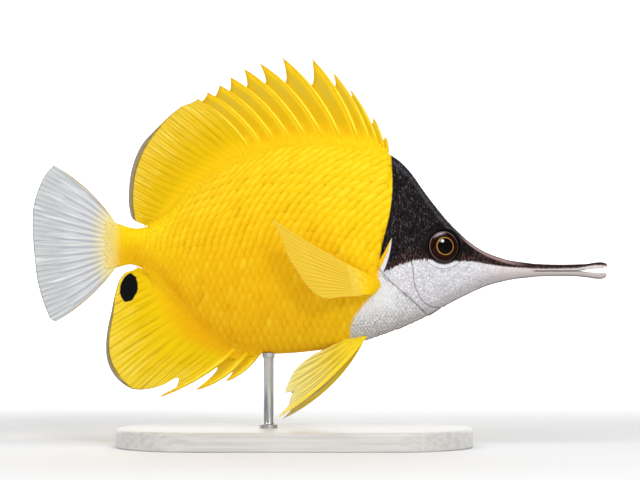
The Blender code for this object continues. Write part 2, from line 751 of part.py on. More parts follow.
def ray_columns(sheet, roots, tips, bows, rays, half_at, place):
    """Columns of points along the rays and the membrane between them, each from root to tip.

    half_at gives the half thickness at (share across the fin, share along the ray, ridge), and
    place adds a point to the sheet.
    """
    columns = []
    count = 2 * rays - 1
    for k in range(count):
        across = k / (count - 1)
        on_ray = k % 2 == 0
        root, tip = roots(across), tips(across)
        column = []
        for row in range(RAY_ROWS + 1):
            share = row / RAY_ROWS
            half = half_at(across, share, RAY_RIDGE if on_ray else 0.0)
            x, z = bowed(root, tip, bows(across), share)
            column.append(place(x, z, half, row == 0))
        columns.append(column)
        if len(columns) > 1:
            sheet.strip(columns[-2], column)
    return columns


def soft_fin(name, table, end_x, margin, rays, reach, edge, over):
    """The soft-rayed rear part of a median fin, close behind the last spine of the table."""
    last = spines_of(table, edge, over)[-1]
    rear_x = last.base[0] - last.girth - SEAM
    front_tip = last.point(reach, -1 - SEAM / last.girth_at(reach))
    root_line = [mix(rear_x, end_x, k / ROOT_STEPS) for k in range(ROOT_STEPS + 1)]
    roots = along([(x, stood_off(edge, x, 0.0, over)) for x in root_line])
    tips = along([front_tip, *margin])
    front_bow = last.bow * reach * reach
    rear_bow = SOFT_BOW if over else -SOFT_BOW
    sheet = Sheet()

    def place(x, z, half, at_root):
        if at_root:
            return root_point(sheet, x, half, edge, over)
        return sheet.add(x, z, half)

    def bows(share):
        return mix(front_bow, rear_bow, min(1.0, share / SOFT_BOW_FROM)) * (1 - share)

    def half(across, share, ridge):
        root_half = min(SOFT_ROOT, SOFT_ROOT_SHARE * half_width(mix(rear_x, end_x, across)))
        thick = mix(SKIN_FIN, root_half, (1 - share) ** SOFT_ROOT_THINS)
        return thick + ridge * (1 - RIDGE_FADES * share)

    ray_columns(sheet, roots, tips, bows, rays, half, place)
    return finish(sheet.make(name, "fin_yellow"), name, "fin_yellow")


def make_tail_fin():
    """A fan of rays from the end of the stalk to the nearly upright rear margin."""
    sheet = Sheet()
    root_x = TAIL_ROOT_X - GAP
    top, bottom = back(TAIL_ROOT_X), belly(TAIL_ROOT_X)
    tips = along(TAIL_MARGIN)

    def roots(share):
        return root_x, mix(top, bottom, share)

    def bows(share):
        return mix(*TAIL_BOWS, share)

    def half(across, share, ridge):
        root = max(SKIN_FIN + RAY_RIDGE, flank(TAIL_ROOT_X, mix(top, bottom, across)))
        thick = mix(SKIN_FIN, root, max(0.0, 1 - share / TAIL_ROOT_SHARE) ** TAIL_ROOT_THINS)
        return thick + ridge * (1 - RIDGE_FADES * share)

    def place(x, z, thick, _):
        return sheet.add(x, z, thick)

    ray_columns(sheet, roots, tips, bows, TAIL_RAYS, half, place)
    return finish(sheet.make("tail_fin", "tail"), "tail_fin", "tail")


def trimmed(fin):
    """Cuts away what of a fin lies in the body, with the gap round it."""
    return carve(fin, body_form("grown", GAP), "DIFFERENCE")


def make_pectoral_fin(side, word):
    """The fin behind the gill cover, swept back and up and held a little away from the flank."""
    sheet = Sheet()
    roots, tips = along(PECTORAL_ROOT), along(PECTORAL_MARGIN)
    root_x = PECTORAL_ROOT[0][0]
    skin = flank(root_x, mix(PECTORAL_ROOT[0][1], PECTORAL_ROOT[-1][1], 0.5))

    def place(x, z, half, at_root):
        away = (root_x - x) * math.tan(PECTORAL_FLARE)
        if at_root:
            return sheet.add(x + PECTORAL_FORWARD, z, half, side * (skin - PECTORAL_SUNK))
        return sheet.add(x, z, half, side * (skin + PECTORAL_STANDS_OFF + away))

    def bows(share):
        return mix(*PECTORAL_BOWS, share)

    def half(_, share, ridge):
        fleshy = max(0.0, 1 - share / PECTORAL_LOBE_SHARE)
        thick = mix(SKIN_FIN, PECTORAL_LOBE, fleshy**PECTORAL_LOBE_THINS)
        return thick + ridge * (1 - RIDGE_FADES * share) * (1 - fleshy)

    ray_columns(sheet, roots, tips, bows, PECTORAL_RAYS, half, place)
    name = "pectoral_fin_" + word
    return finish(trimmed(sheet.make(name, "fin_yellow")), name, "fin_yellow")


def make_pelvic_fin(side, word):
    """The fin under the breast, with its long leading ray and two rear lobes."""
    sheet = Sheet()
    front, rear = PELVIC_ROOT
    forward, splay = PELVIC_SWING[word]
    shorter = math.cos(splay) / math.cos(PELVIC_SWING["right"][1])
    columns = []
    total = len(PELVIC_RAYS)

    def turned(x, z):
        dx, dz = x - front[0], z - front[1]
        return (
            front[0] + dx * math.cos(forward) - dz * math.sin(forward),
            front[1] + dx * math.sin(forward) + dz * math.cos(forward),
        )

    lines = []
    for k, (tip, bow, behind) in enumerate(PELVIC_RAYS):
        lines.append((mix(front, rear, k / (total - 1)), tip, bow, True))
        if behind:
            lines.append((mix(front, rear, (k + 0.5) / (total - 1)), behind, bow, False))
    for k, (root, tip, bow, on_ray) in enumerate(lines):
        column = []
        across = k / (len(lines) - 1)
        for row in range(RAY_ROWS + 1):
            share = row / RAY_ROWS
            x, z = turned(*bowed(root, tip, bow, share))
            leading = PELVIC_LEADING * (1 - share) * max(0.0, 1 - across / PELVIC_LEADING_SHARE)
            half = mix(SKIN_FIN, PELVIC_ROOT_HALF, (1 - share) ** 2) + leading
            half += RAY_RIDGE * (1 - RIDGE_FADES * share) if on_ray else 0.0
            down = (front[1] - z) * shorter
            y = PELVIC_ROOT_Y + down * math.tan(splay) + PELVIC_SPREAD * across * share
            column.append(sheet.add(x, front[1] - down, half, side * y))
        columns.append(column)
        if k:
            sheet.strip(columns[-2], column)
    name = "pelvic_fin_" + word
    return finish(trimmed(sheet.make(name, "fin_yellow")), name, "fin_yellow")


# The stand


def make_base():
    """A flat plate with round ends and a small bevel along its upper edge."""
    radius = BASE_WIDTH / 2
    straight = BASE_LENGTH / 2 - radius
    rings = []
    for inset, z in ((0.0, 0.0), (0.0, BASE_THICK - BASE_EDGE), (BASE_EDGE, BASE_THICK)):
        ring = []
        for end in (1, -1):
            for i in range(BASE_ARC + 1):
                turn = math.pi * (i / BASE_ARC - 0.5)
                x = end * (straight + (radius - inset) * math.cos(turn))
                ring.append((BASE_X + x, end * (radius - inset) * math.sin(turn), z))
        rings.append(ring)
    base = loft("stand_base", rings)
    return finish(base, "stand_base", "stand")


def make_rod():
    """A short rod from the base up to the belly, cut to the belly's form."""
    rings = []
    for z in (BASE_THICK + GAP, belly(ROD_X) + ROD_SUNK):
        ring = []
        for i in range(ROD_SIDES):
            turn = math.tau * i / ROD_SIDES
            ring.append((ROD_X + ROD_RADIUS * math.cos(turn), ROD_RADIUS * math.sin(turn), z))
        rings.append(ring)
    return finish(trimmed(loft("stand_rod", rings)), "stand_rod", "steel")


def main():
    for leftover in list(bpy.data.objects):
        bpy.data.objects.remove(leftover)
    make_body()
    make_jaw("upper_jaw", UPPER_JAW, 1, "black")
    make_jaw("lower_jaw", LOWER_JAW, -1, "silver")
    spiny_fin("dorsal_fin_spiny", DORSAL_SPINES, crest, True)
    soft_fin(
        "dorsal_fin_soft", DORSAL_SPINES, SOFT_DORSAL_END_X, SOFT_DORSAL_MARGIN,
        SOFT_DORSAL_RAYS, SOFT_DORSAL_REACH, crest, True,
    )
    spiny_fin("anal_fin_spiny", ANAL_SPINES, keel, False)
    soft_fin(
        "anal_fin_soft", ANAL_SPINES, SOFT_ANAL_END_X, SOFT_ANAL_MARGIN,
        SOFT_ANAL_RAYS, SOFT_ANAL_REACH, keel, False,
    )
    make_tail_fin()
    for side, word in SIDES:
        make_pectoral_fin(side, word)
        make_pelvic_fin(side, word)
    make_base()
    make_rod()


main()
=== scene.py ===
"""Looks of the life-size longnose butterflyfish and its display stand.

Lengths are millimetres until a mesh is made. x runs forward to the snout, y to the fish's left and z up
from the floor. The curves of the body and fins are those of the construction, drawn here much finer.
"""

import math

import bpy
import numpy as np
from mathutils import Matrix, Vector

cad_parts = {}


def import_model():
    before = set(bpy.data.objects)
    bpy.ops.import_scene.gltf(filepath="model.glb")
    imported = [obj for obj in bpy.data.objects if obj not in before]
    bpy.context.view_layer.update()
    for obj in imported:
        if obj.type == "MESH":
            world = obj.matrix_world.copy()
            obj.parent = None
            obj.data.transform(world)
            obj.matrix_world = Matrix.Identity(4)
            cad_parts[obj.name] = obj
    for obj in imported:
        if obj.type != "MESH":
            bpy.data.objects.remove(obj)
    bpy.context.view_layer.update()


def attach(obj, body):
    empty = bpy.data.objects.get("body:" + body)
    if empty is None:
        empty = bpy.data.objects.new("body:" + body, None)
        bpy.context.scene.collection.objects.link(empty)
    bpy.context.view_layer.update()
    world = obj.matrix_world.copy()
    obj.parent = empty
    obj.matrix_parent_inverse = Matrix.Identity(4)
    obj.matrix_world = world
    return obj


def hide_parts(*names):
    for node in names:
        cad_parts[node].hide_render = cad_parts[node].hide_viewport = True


MM = 0.001
SIDES = ((-1, "right"), (1, "left"))

# The body's curves, as in the construction
TAIL_ROOT_X, MOUTH_X = -63.6, 67.1
BACK_LINE = (
    (-63.6, 70.5), (-58.3, 68.9), (-52.7, 69.9), (-47.0, 73.2), (-40.4, 80.6), (-29.2, 89.2),
    (-17.9, 94.2), (-6.6, 96.4), (6.3, 95.8), (20.4, 92.9), (27.0, 87.8), (34.5, 77.7),
    (42.0, 68.7), (49.5, 62.5), (57.1, 59.2), (67.1, 57.5),
)
BELLY_LINE = (
    (-63.6, 55.9), (-59.6, 56.9), (-55.2, 55.5), (-48.9, 50.5), (-40.8, 40.8), (-33.2, 33.5),
    (-25.7, 29.9), (-17.6, 29.0), (-2.2, 29.8), (7.8, 31.4), (18.8, 34.6), (29.5, 39.0),
    (44.5, 46.9), (52.0, 50.3), (59.6, 52.3), (67.1, 53.25),
)
HALF_WIDTHS = (
    (-63.6, 1.9), (-58.3, 2.7), (-50.0, 4.0), (-37.6, 6.3), (-22.0, 8.5), (-6.3, 9.8),
    (9.4, 10.4), (20.4, 10.2), (29.8, 8.9), (38.9, 7.0), (47.0, 5.0), (53.3, 3.7),
    (59.6, 2.8), (67.1, 2.1),
)
WIDEST_SHARES = (
    (-63.6, 0.50), (-40.0, 0.53), (-15.0, 0.53), (9.4, 0.46), (22.0, 0.40), (30.0, 0.38),
    (39.0, 0.46), (50.0, 0.50), (67.1, 0.50),
)
BACK_EDGES = ((-63.6, 1.2), (-40.0, 1.45), (20.0, 1.50), (32.0, 1.25), (42.0, 1.05), (67.1, 1.0))
BELLY_EDGES = ((-63.6, 1.2), (-40.0, 1.45), (-15.0, 1.20), (10.0, 1.10), (40.0, 1.10), (67.1, 1.0))
GILL_LINE = (
    (23.4, 105.0), (22.3, 91.2), (21.9, 80.6), (21.0, 70.5), (19.1, 61.8), (18.2, 56.1),
    (23.5, 50.6), (28.5, 46.3), (32.6, 42.6), (40.0, 33.0),
)
PREOPERCLE = (
    (27.0, 61.0), (28.4, 57.8), (28.9, 55.5), (29.3, 51.7), (30.4, 48.3), (32.3, 45.6),
    (34.8, 44.1), (38.5, 43.8),
)
UPPER_JAW = (
    (67.4, 57.5, 55.35, 2.05), (72.1, 57.3, 55.35, 1.85), (76.0, 57.25, 55.35, 1.70),
    (80.6, 57.35, 55.5, 1.55), (83.7, 57.5, 55.75, 1.50), (86.3, 57.9, 56.0, 1.50),
    (88.3, 58.0, 56.2, 1.35), (89.5, 57.7, 56.4, 1.00), (90.1, 57.2, 56.7, 0.45),
)
LOWER_JAW = (
    (67.4, 55.05, 53.3, 2.05), (72.1, 55.05, 53.5, 1.85), (76.0, 55.05, 53.5, 1.70),
    (80.6, 54.95, 53.4, 1.55), (83.7, 54.8, 53.1, 1.50), (86.3, 54.6, 52.7, 1.50),
    (88.2, 54.5, 52.65, 1.35), (89.3, 54.45, 53.0, 1.00), (89.8, 54.35, 53.6, 0.45),
)
EYE_X, EYE_Z = 38.6, 62.9
EYE_RADIUS, EYE_DEPTH, EYE_STANDS_OUT, EYE_TILT = 5.3, 3.4, 1.6, 0.5
NOSTRILS = ((45.5, 61.9, 0.50), (46.9, 61.1, 0.42))
GOLD_RING, OUTER_RING = 2.66, 4.62

# How fine the skin is, and how deep it lies under the outer form
QUARTER = 64
RING_STEPS = ((-68.0, -63.0, 0.5), (-63.0, 15.0, 0.85), (15.0, 52.0, 0.24), (52.0, 67.1, 0.42))
INSET_TRUNK, INSET_HEAD = 0.30, 0.10
TAIL_BLADE_X = -68.0
JAW_STEPS, MOUTH_STEPS = 74, 26

# Scales: front x, rear x, pitch, step from row to row, and how much they shrink with the body
TRUNK_SCALES = (26.0, -62.5, 2.45, 2.80, 0.5)
CHEST_SCALES = (34.0, 8.0, 1.25, 1.1, 0.3)
HEAD_SCALES = (58.0, 17.0, 0.85, 0.75, 0.25)
BIG_SCALE, SMALL_SCALE = ((0.45, 0.82, 1.0), 16), ((0.6, 1.0), 8)  # radii of its rings, spokes
TRUNK_LEAN = ((-8, 3, 8, 16), (0.5, 0.24, -0.02, -0.18))  # heights, start behind the row below
TRUNK_TURN = ((-10, 6, 20), (2, 36, 48))  # heights, degrees
BARE_ROUND_EYE, BARE_ROUND_NOSTRILS, NOSTRILS_MIDDLE = 7.0, 2.0, (46.2, 61.5)
UNWRAP_REAR, UNWRAP_LENGTH, UNWRAP_STEP = -70.0, 165.0, 0.0055  # millimetres, and unwrap a millimetre up
UV_PATCH_HALF = 0.0015  # half the width of a scale's patch on the unwrap

# Fins, as in the construction
TIP_GIRTH = 0.14
DORSAL_SPINES = (
    (21.2, (20.5, 97.2), 0.42, 0.3, 0.10), (19.9, (16.7, 103.1), 0.50, 0.5, 0.27),
    (18.1, (9.4, 112.0), 0.68, 1.0, 0.36), (15.6, (4.1, 117.2), 0.85, 1.4, 0.62),
    (12.0, (-2.6, 121.6), 0.95, 1.8, 0.63), (6.6, (-11.9, 121.9), 1.00, 2.1, 0.62),
    (0.9, (-19.0, 120.2), 0.95, 2.2, 0.69), (-4.4, (-24.0, 118.5), 0.90, 2.0, 0.73),
    (-9.4, (-28.3, 115.9), 0.85, 1.9, 0.79), (-14.1, (-31.8, 113.4), 0.80, 1.8, 0.86),
    (-18.2, (-35.5, 111.1), 0.75, 1.7, 0.90), (-21.9, (-39.0, 109.3), 0.70, 1.6, 0.92),
)
ANAL_SPINES = (
    (-20.0, (-29.4, 20.8), 0.95, 0.85, 0.10), (-23.6, (-38.8, 18.1), 1.15, 1.40, 0.32),
    (-27.6, (-50.0, 16.0), 1.25, 1.10, 0.25),
)
DORSAL_TAPER, ANAL_TAPER = 0.75, 0.5
MEMBRANE_LEAVES, MEMBRANE_HOLLOW = 0.985, 0.22
SPINE_SUNK, SPINE_ROWS, WEB_COLUMNS = 1.6, 40, 34
SOFT_STEPS, SOFT_ROWS = 20, 56
DORSAL_STRIP = (1.25, 0.22, 0.50, 0.96, 0.86)  # width, then where along the margin it grows and ends
ANAL_STRIP = (0.95, 0.26, 0.42, 0.82, 0.66)
SOFT_DORSAL_MARGIN = (
    (-40.6, 107.8), (-42.8, 107.1), (-45.8, 105.0), (-50.8, 100.3), (-55.8, 94.8),
    (-58.9, 87.5), (-59.9, 80.6), (-59.8, 75.2), (-58.6, 71.4), (-56.8, 70.3), (-54.6, 70.05),
)
SOFT_ANAL_MARGIN = (
    (-44.3, 21.5), (-49.8, 19.2), (-55.4, 18.0), (-59.1, 18.3), (-62.1, 20.1), (-65.0, 23.3),
    (-66.7, 27.3), (-67.1, 31.7), (-66.6, 36.9), (-65.4, 42.5), (-64.0, 48.9), (-62.6, 52.8),
    (-60.9, 54.7), (-58.8, 55.2), (-56.8, 54.9),
)
TAIL_MARGIN = (
    (-83.4, 88.4), (-85.9, 85.6), (-88.1, 81.2), (-89.7, 75.9), (-90.1, 70.5), (-89.9, 64.9),
    (-89.3, 58.0), (-88.6, 52.4), (-87.2, 47.0), (-85.6, 42.6), (-84.2, 40.0), (-82.8, 39.3),
)
PECTORAL_ROOT = ((17.4, 53.2), (18.0, 51.4), (16.9, 49.0), (15.4, 47.4))
PECTORAL_MARGIN = (
    (-14.6, 71.0), (-12.0, 65.1), (-10.2, 60.1), (-6.7, 54.5), (-3.0, 49.5), (-0.2, 47.4),
    (1.9, 46.8),
)
PECTORAL_FLARE, PECTORAL_RAYS = math.radians(20), 15
PELVIC_RAYS = (
    ((-14.6, 8.6), 3.0, (-11.8, 11.2)), ((-9.9, 13.4), 2.2, (-9.5, 14.7)),
    ((-9.0, 16.4), 1.7, (-8.2, 17.8)), ((-10.7, 17.4), 1.2, (-10.1, 20.0)),
    ((-8.4, 23.6), 0.6, (-5.6, 26.6)), ((-2.2, 29.2), 0.0, None),
)
PELVIC_ROOT = ((14.2, 34.0), (10.0, 34.8))
PELVIC_ROOT_Y = 2.6
PELVIC_SWING = {"right": (0.0, math.radians(11)), "left": (math.radians(5.5), math.radians(24))}

# Markings, as (z, x) or (x, z) lines in the side view
MASK_REAR = (
    (54.0, 17.0), (58.0, 18.3), (63.0, 19.1), (68.0, 20.4), (73.0, 21.6), (80.6, 22.5), (91.5, 22.3),
    (100.0, 22.3),
)
MASK_LOWER = (
    (16.0, 55.6), (19.75, 55.1), (23.5, 56.6), (28.5, 58.3), (33.2, 58.7), (42.6, 58.3), (47.6, 58.1),
    (52.4, 57.3), (57.0, 56.6), (66.8, 55.95), (76.5, 55.95), (81.2, 56.15), (85.9, 56.9), (91.0, 56.8),
)
SLIVER = (  # z, rear x and front x of the pale sliver behind the gill cover
    (54.5, 17.4, 19.5), (58.0, 18.2, 20.9), (61.8, 20.2, 21.9), (66.0, 22.4, 22.4),
)
SLIVER_ENDS = (54.3, 66.2)
CHEST = (
    (28.0, 10.3), (34.2, 9.7), (37.3, 9.7), (41.1, 11.0), (44.8, 13.8), (47.0, 15.7), (49.2, 17.4),
    (53.0, 18.3), (55.0, 18.2), (58.0, 19.6), (61.8, 21.2), (66.0, 22.4), (70.0, 25.0), (76.0, 30.0),
)
MOUTH_LINE = ((55.0, 55.7), (60.0, 55.4), (67.1, 55.2), (76.0, 55.2), (82.0, 55.25))
ANAL_SPOT = (-59.9, 49.9)
SPOT_HALF, SPOT_LEAN = (2.75, 4.4), 0.12

# Colours seen on the fish
# The yellows run lighter high up and deeper orange low down, partly the fish's own colour and partly painted
# light and shade.
YELLOWS = (  # x, z, colour: back, flank and belly from front to rear
    (12, 86, "f9d208"), (-12, 88, "f5c608"), (-36, 79, "f3c50a"), (-60, 66, "f8d20e"), (16, 62, "fbcc05"),
    (-10, 64, "f8c604"), (-36, 60, "f4ba05"), (-8, 46, "f2b305"), (-32, 44, "ecaa06"), (6, 36, "edbb0e"),
    (-14, 31, "ebb512"), (-60, 58, "f6c40a"),
)
MASK_BROWN, MASK_BLACK = "1b1211", "090708"
CHEEK, CHEST_SILVER, SNOUT_PINK = "d8d6dc", "c3c0bc", "ecdfdd"
FIN_YELLOW, FIN_OCHRE, FIN_PALE, FIN_SHADE = "f9cd0c", "dfae08", "fbe68a", "d9a404"
# The first is painted shade in the hollows between the spines, the second a painted shadow where the fins
# leave the body.
VALLEY_SHADE_GOLD, CREASE = "ebb608", "cf9c04"
MARGIN_GREY, MARGIN_LINE = "8e8577", "4a3d1c"
TAIL_RAY, TAIL_SHADE, TAIL_CREAM = "eef0f1", "a9adb2", "f0df92"
SPOT_BLACK = "0b0b0d"
SILVER_GRAINS = (  # size in millimetres, noise low and high, share at low and at high, colour
    (2.6, 0.40, 0.62, 0.26, 0.0, "a5a2a8"), (0.55, 0.50, 0.66, 0.0, 0.95, "fdfdff"),
    (0.8, 0.52, 0.68, 0.0, 0.46, "98908f"),
)
RINGS_ROUND_EYE = (  # radius, half widths where it starts and is full, strength, colour
    (6.20, 0.60, 0.30, 0.75, "e9e3ef"), (6.95, 0.26, 0.05, 0.45, "8a8489"),
)
DARK_LINES = (  # field, distances where it starts and is full, strength, colour
    ("groove", 0.26, 0.05, 0.62, "5a4440"), ("mouth", 0.30, 0.06, 0.85, "604a48"),
)
SKIN_ROUGH, FIN_ROUGH, CLEAR_ALPHA = 0.40, 0.42, 0.80

BASE_LENGTH, BASE_WIDTH, BASE_THICK, BASE_X, BASE_ROUND = 112.0, 56.0, 6.0, -8.0, 1.2
ROD_X, ROD_RADIUS = -16.1, 1.6
PIXEL = 0.3135  # millimetres a pixel of a 640 by 480 frame at the fish's middle plane
CAMERA_AWAY = 1000.0
FRAME_CENTRE = (0.0, 64.9)
LIGHTS = (  # name, place in millimetres, width and height in metres, watts
    ("key", (-480.0, -420.0, 620.0), (0.40, 0.40), 2.0),
    ("glint", (187.0, -590.0, 441.0), (0.10, 0.10), 1.25),
    ("fill", (700.0, -800.0, 260.0), (0.9, 0.9), 1.25),
    ("top", (200.0, -280.0, 690.0), (0.6, 0.22), 1.4),
    ("low", (0.0, -700.0, 50.0), (0.8, 0.2), 0.35),
)
LIGHTS_AIM = (0.0, 0.0, 0.064)  # metres
SKY_STRENGTH = 0.29
STAGE_HALF, SWEEP_Y, SWEEP_RADIUS, STAGE_DROP = 3000.0, 1400.0, 700.0, 0.02


# Curves


def smooth(pairs):
    """A smooth function through rows of a place and its values, in order of place."""
    table = np.array(pairs, float)
    places, values = table[:, 0], table[:, 1:]
    steps = np.diff(places)[:, None]
    rates = np.diff(values, axis=0) / steps
    inner = (steps[1:] * rates[:-1] + steps[:-1] * rates[1:]) / (steps[:-1] + steps[1:])
    slopes = np.concatenate([rates[:1], inner, rates[-1:]])

    def value(at):
        at = np.clip(np.asarray(at, float), places[0], places[-1])
        i = np.clip(np.searchsorted(places, at, side="right") - 1, 0, len(steps) - 1)
        t = ((at - places[i]) / steps[i, 0])[..., None]
        start, end = values[i], values[i + 1]
        rise_in, rise_out = slopes[i] * steps[i], slopes[i + 1] * steps[i]
        bend = t * t * (3 * (end - start) - 2 * rise_in - rise_out)
        made = start + t * rise_in + bend + t**3 * (2 * (start - end) + rise_in + rise_out)
        return made[..., 0] if values.shape[1] == 1 else made

    return value


def along(points):
    """A function that gives the point at a share, 0 to 1, of the length of a curve through points."""
    points = np.array(points, float)
    lengths = np.concatenate([[0.0], np.cumsum(np.linalg.norm(np.diff(points, axis=0), axis=1))])
    curve = smooth(np.column_stack([lengths, points]))
    return lambda share: curve(np.asarray(share, float) * lengths[-1])


def mix(a, b, share):
    return a + (b - a) * share


def ramp(low, high, value):
    """0 below low, 1 above high and smooth between them."""
    t = np.clip((value - low) / (high - low), 0.0, 1.0)
    return t * t * (3 - 2 * t)


def bell(off, width):
    """1 where off is 0, and smoothly less on both sides of it."""
    return np.exp(-((off / width) ** 2))


def joined(*values):
    """Values side by side along a new last axis."""
    return np.stack(values, -1)


def bowed(root, tip, bow, share):
    """Points on arcs from root to tip that swell to the left of their way by bow at their middle."""
    way = tip - root
    length = np.linalg.norm(way, axis=-1)
    swell = 4 * bow * share * (1 - share) / length
    x = root[..., 0] + way[..., 0] * share - way[..., 1] * swell
    z = root[..., 1] + way[..., 1] * share + way[..., 0] * swell
    return x, z


back, belly = smooth(BACK_LINE), smooth(BELLY_LINE)
half_width, widest_share = smooth(HALF_WIDTHS), smooth(WIDEST_SHARES)
back_edge, belly_edge = smooth(BACK_EDGES), smooth(BELLY_EDGES)


def widest(x):
    return mix(belly(x), back(x), widest_share(x))


def flank(x, z):
    """How far the body's side lies from its middle plane at (x, z)."""
    upper = z > widest(x)
    reach = np.where(upper, back(x) - widest(x), widest(x) - belly(x))
    up = np.clip(np.abs(z - widest(x)) / reach, 0, 1)
    return half_width(x) * (1 - up * up) ** (np.where(upper, back_edge(x), belly_edge(x)) / 2)


def linear(colour):
    """Linear red, green and blue of a colour written as six hexadecimal digits."""
    parts = np.array([int(colour[i : i + 2], 16) / 255 for i in (0, 2, 4)])
    return np.where(parts > 0.04045, ((parts + 0.055) / 1.055) ** 2.4, parts / 12.92)


def tinged(colours, colour, share):
    """Colours with another laid over them by its share at each place."""
    return mix(colours, linear(colour), share[..., None])


# Meshes


def put(name, data):
    """Adds an object for a mesh, light or camera to the scene."""
    made = bpy.data.objects.new(name, data)
    bpy.context.scene.collection.objects.link(made)
    return made


def new_object(name, points, faces, look, fields=None, uvs=None):
    """A mesh object from millimetre points. Fields hold values at the points, kept as attributes."""
    points = np.asarray(points, float)
    blocks = [np.asarray(block) for block in faces if len(block)]
    corners = np.concatenate([block.ravel() for block in blocks])
    sizes = np.concatenate([np.full(len(block), block.shape[1]) for block in blocks])
    volume = 0.0
    for block in blocks:
        a = points[block[:, 0]]
        for k in range(1, block.shape[1] - 1):
            volume += np.einsum("ij,ij->", a, np.cross(points[block[:, k]], points[block[:, k + 1]]))
    if volume < 0:
        corners = np.concatenate([block[:, ::-1].ravel() for block in blocks])
    mesh = bpy.data.meshes.new(name)
    mesh.vertices.add(len(points))
    mesh.vertices.foreach_set("co", (points * MM).astype(np.float32).ravel())
    mesh.loops.add(len(corners))
    mesh.loops.foreach_set("vertex_index", corners.astype(np.int32))
    mesh.polygons.add(len(sizes))
    mesh.polygons.foreach_set("loop_start", np.concatenate([[0], np.cumsum(sizes)[:-1]]).astype(np.int32))
    mesh.update(calc_edges=True)
    for key, values in (fields or {}).items():
        values = np.asarray(values, float)
        if values.ndim == 1:
            layer = mesh.attributes.new(key, "FLOAT", "POINT")
            layer.data.foreach_set("value", values.astype(np.float32))
        else:
            layer = mesh.attributes.new(key, "FLOAT_COLOR", "POINT")
            full = np.column_stack([values, np.ones(len(values))]).astype(np.float32)
            layer.data.foreach_set("color", full.ravel())
    if uvs is not None:
        layer = mesh.uv_layers.new(name="OFBake")
        layer.data.foreach_set("uv", uvs[corners].astype(np.float32).ravel())
    mesh.shade_smooth()
    mesh.materials.append(look)
    made = put(name, mesh)
    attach(made, "root")
    return made


def grid_faces(columns, rows, start=0):
    """Quads over a grid of points, counted along the rows first."""
    index = start + np.arange(columns * rows).reshape(columns, rows)
    return joined(index[:-1, :-1], index[1:, :-1], index[1:, 1:], index[:-1, 1:]).reshape(-1, 4)


def rim_loop(columns, rows):
    index = np.arange(columns * rows).reshape(columns, rows)
    return np.concatenate([index[:-1, 0], index[-1, :-1], index[:0:-1, -1], index[0, :0:-1]])


class Form:
    """Gathers the points, faces and fields of several closed parts of one object."""

    def __init__(self):
        self.points, self.faces, self.fields, self.count = [], [], {}, 0

    def add(self, points, faces, fields):
        points = points.reshape(-1, 3)
        self.points.append(points)
        self.faces += [block + self.count for block in faces]
        for key, values in fields.items():
            self.fields.setdefault(key, []).append(values)
        self.count += len(points)

    def plate(self, x, y, z, half, fields):
        """A closed plate over a grid of places, with its half thickness along y."""
        columns, rows = x.shape
        count = columns * rows
        near = joined(x, y + half, z).reshape(-1, 3)
        far = joined(x, y - half, z).reshape(-1, 3)
        front = grid_faces(columns, rows)
        loop = rim_loop(columns, rows)
        following = np.roll(loop, -1)
        rim = joined(following, loop, loop + count, following + count)
        both = {key: np.concatenate([v.reshape(count, -1)] * 2).squeeze() for key, v in fields.items()}
        self.add(np.concatenate([near, far]), [front, front[:, ::-1] + count, rim], both)

    def tube(self, rings, fields):
        """A closed tube through rings of equal count: an array of ring, point and axis."""
        count, sides, _ = rings.shape
        index = np.arange(count * sides).reshape(count, sides)
        onward = np.roll(index, -1, axis=1)
        walls = joined(index[:-1], onward[:-1], onward[1:], index[1:]).reshape(-1, 4)
        ends = np.array([count * sides, count * sides + 1])
        caps = np.concatenate([
            joined(np.full(sides, ends[0]), onward[0], index[0]),
            joined(np.full(sides, ends[1]), index[-1], onward[-1]),
        ])
        points = np.concatenate([rings.reshape(-1, 3), rings[:1].mean(1), rings[-1:].mean(1)])
        full = {}
        for key, values in fields.items():
            flat = values.reshape(count * sides, -1)
            full[key] = np.concatenate([flat, flat[:1], flat[-1:]]).squeeze()
        self.add(points, [walls, caps], full)

    def build(self, name, look):
        fields = {key: np.concatenate(values) for key, values in self.fields.items()}
        by_size = {}
        for block in self.faces:
            by_size.setdefault(block.shape[1], []).append(block)
        faces = [np.concatenate(blocks) for blocks in by_size.values()]
        return new_object(name, np.concatenate(self.points), faces, look, fields)


# Markings


mask_rear, mask_lower = smooth(MASK_REAR), smooth(MASK_LOWER)
sliver_edges, chest_edge = smooth(SLIVER), smooth(CHEST)
jaw_bottom = smooth([(row[0], row[2]) for row in LOWER_JAW])
upper_lip = smooth([(row[0], row[2]) for row in UPPER_JAW])
lower_lip = smooth([(row[0], row[1]) for row in LOWER_JAW])


def yellow_at(x, z):
    """The body's yellow, blended from the colours of a few places; lighter along the back and deeper orange
    low down and to the rear, partly the fish's own colour and partly painted light and shade.
    """
    total, weight = 0.0, 0.0
    for px, pz, colour in YELLOWS:
        near = np.exp(-((x - px) ** 2 + (z - pz) ** 2) / (2 * 13.0**2)) + 1e-9
        total = total + near[..., None] * linear(colour)
        weight = weight + near
    yellow = total / weight[..., None]
    # Lemon along the top of the stalk and deep orange above the rear belly: partly the fish's colour, partly
    # painted light and shade.
    lemon = 0.60 * bell(z - back(x) + 2.2, 2.6) * ramp(-32.0, -50.0, x)
    yellow = tinged(yellow, "f8dc06", lemon)
    deep = 0.45 * bell(z - belly(x) - 3.6, 3.2) * ramp(-26.0, -42.0, x)
    yellow = tinged(yellow, "eda103", deep)
    cream = 0.92 * ramp(-61.8, -66.2, x - 0.006 * (z - 63.3) ** 2)[..., None]
    return mix(yellow, linear("f2e298"), cream)


def silver_at(x, z):
    """The silver of the chest, cheek and lower snout."""
    front = ramp(44, 62, x)[..., None]
    low = ramp(49, 35, z)[..., None]
    cheek = mix(linear(CHEEK), linear(CHEST_SILVER), low)
    return mix(cheek, linear(SNOUT_PINK), front)


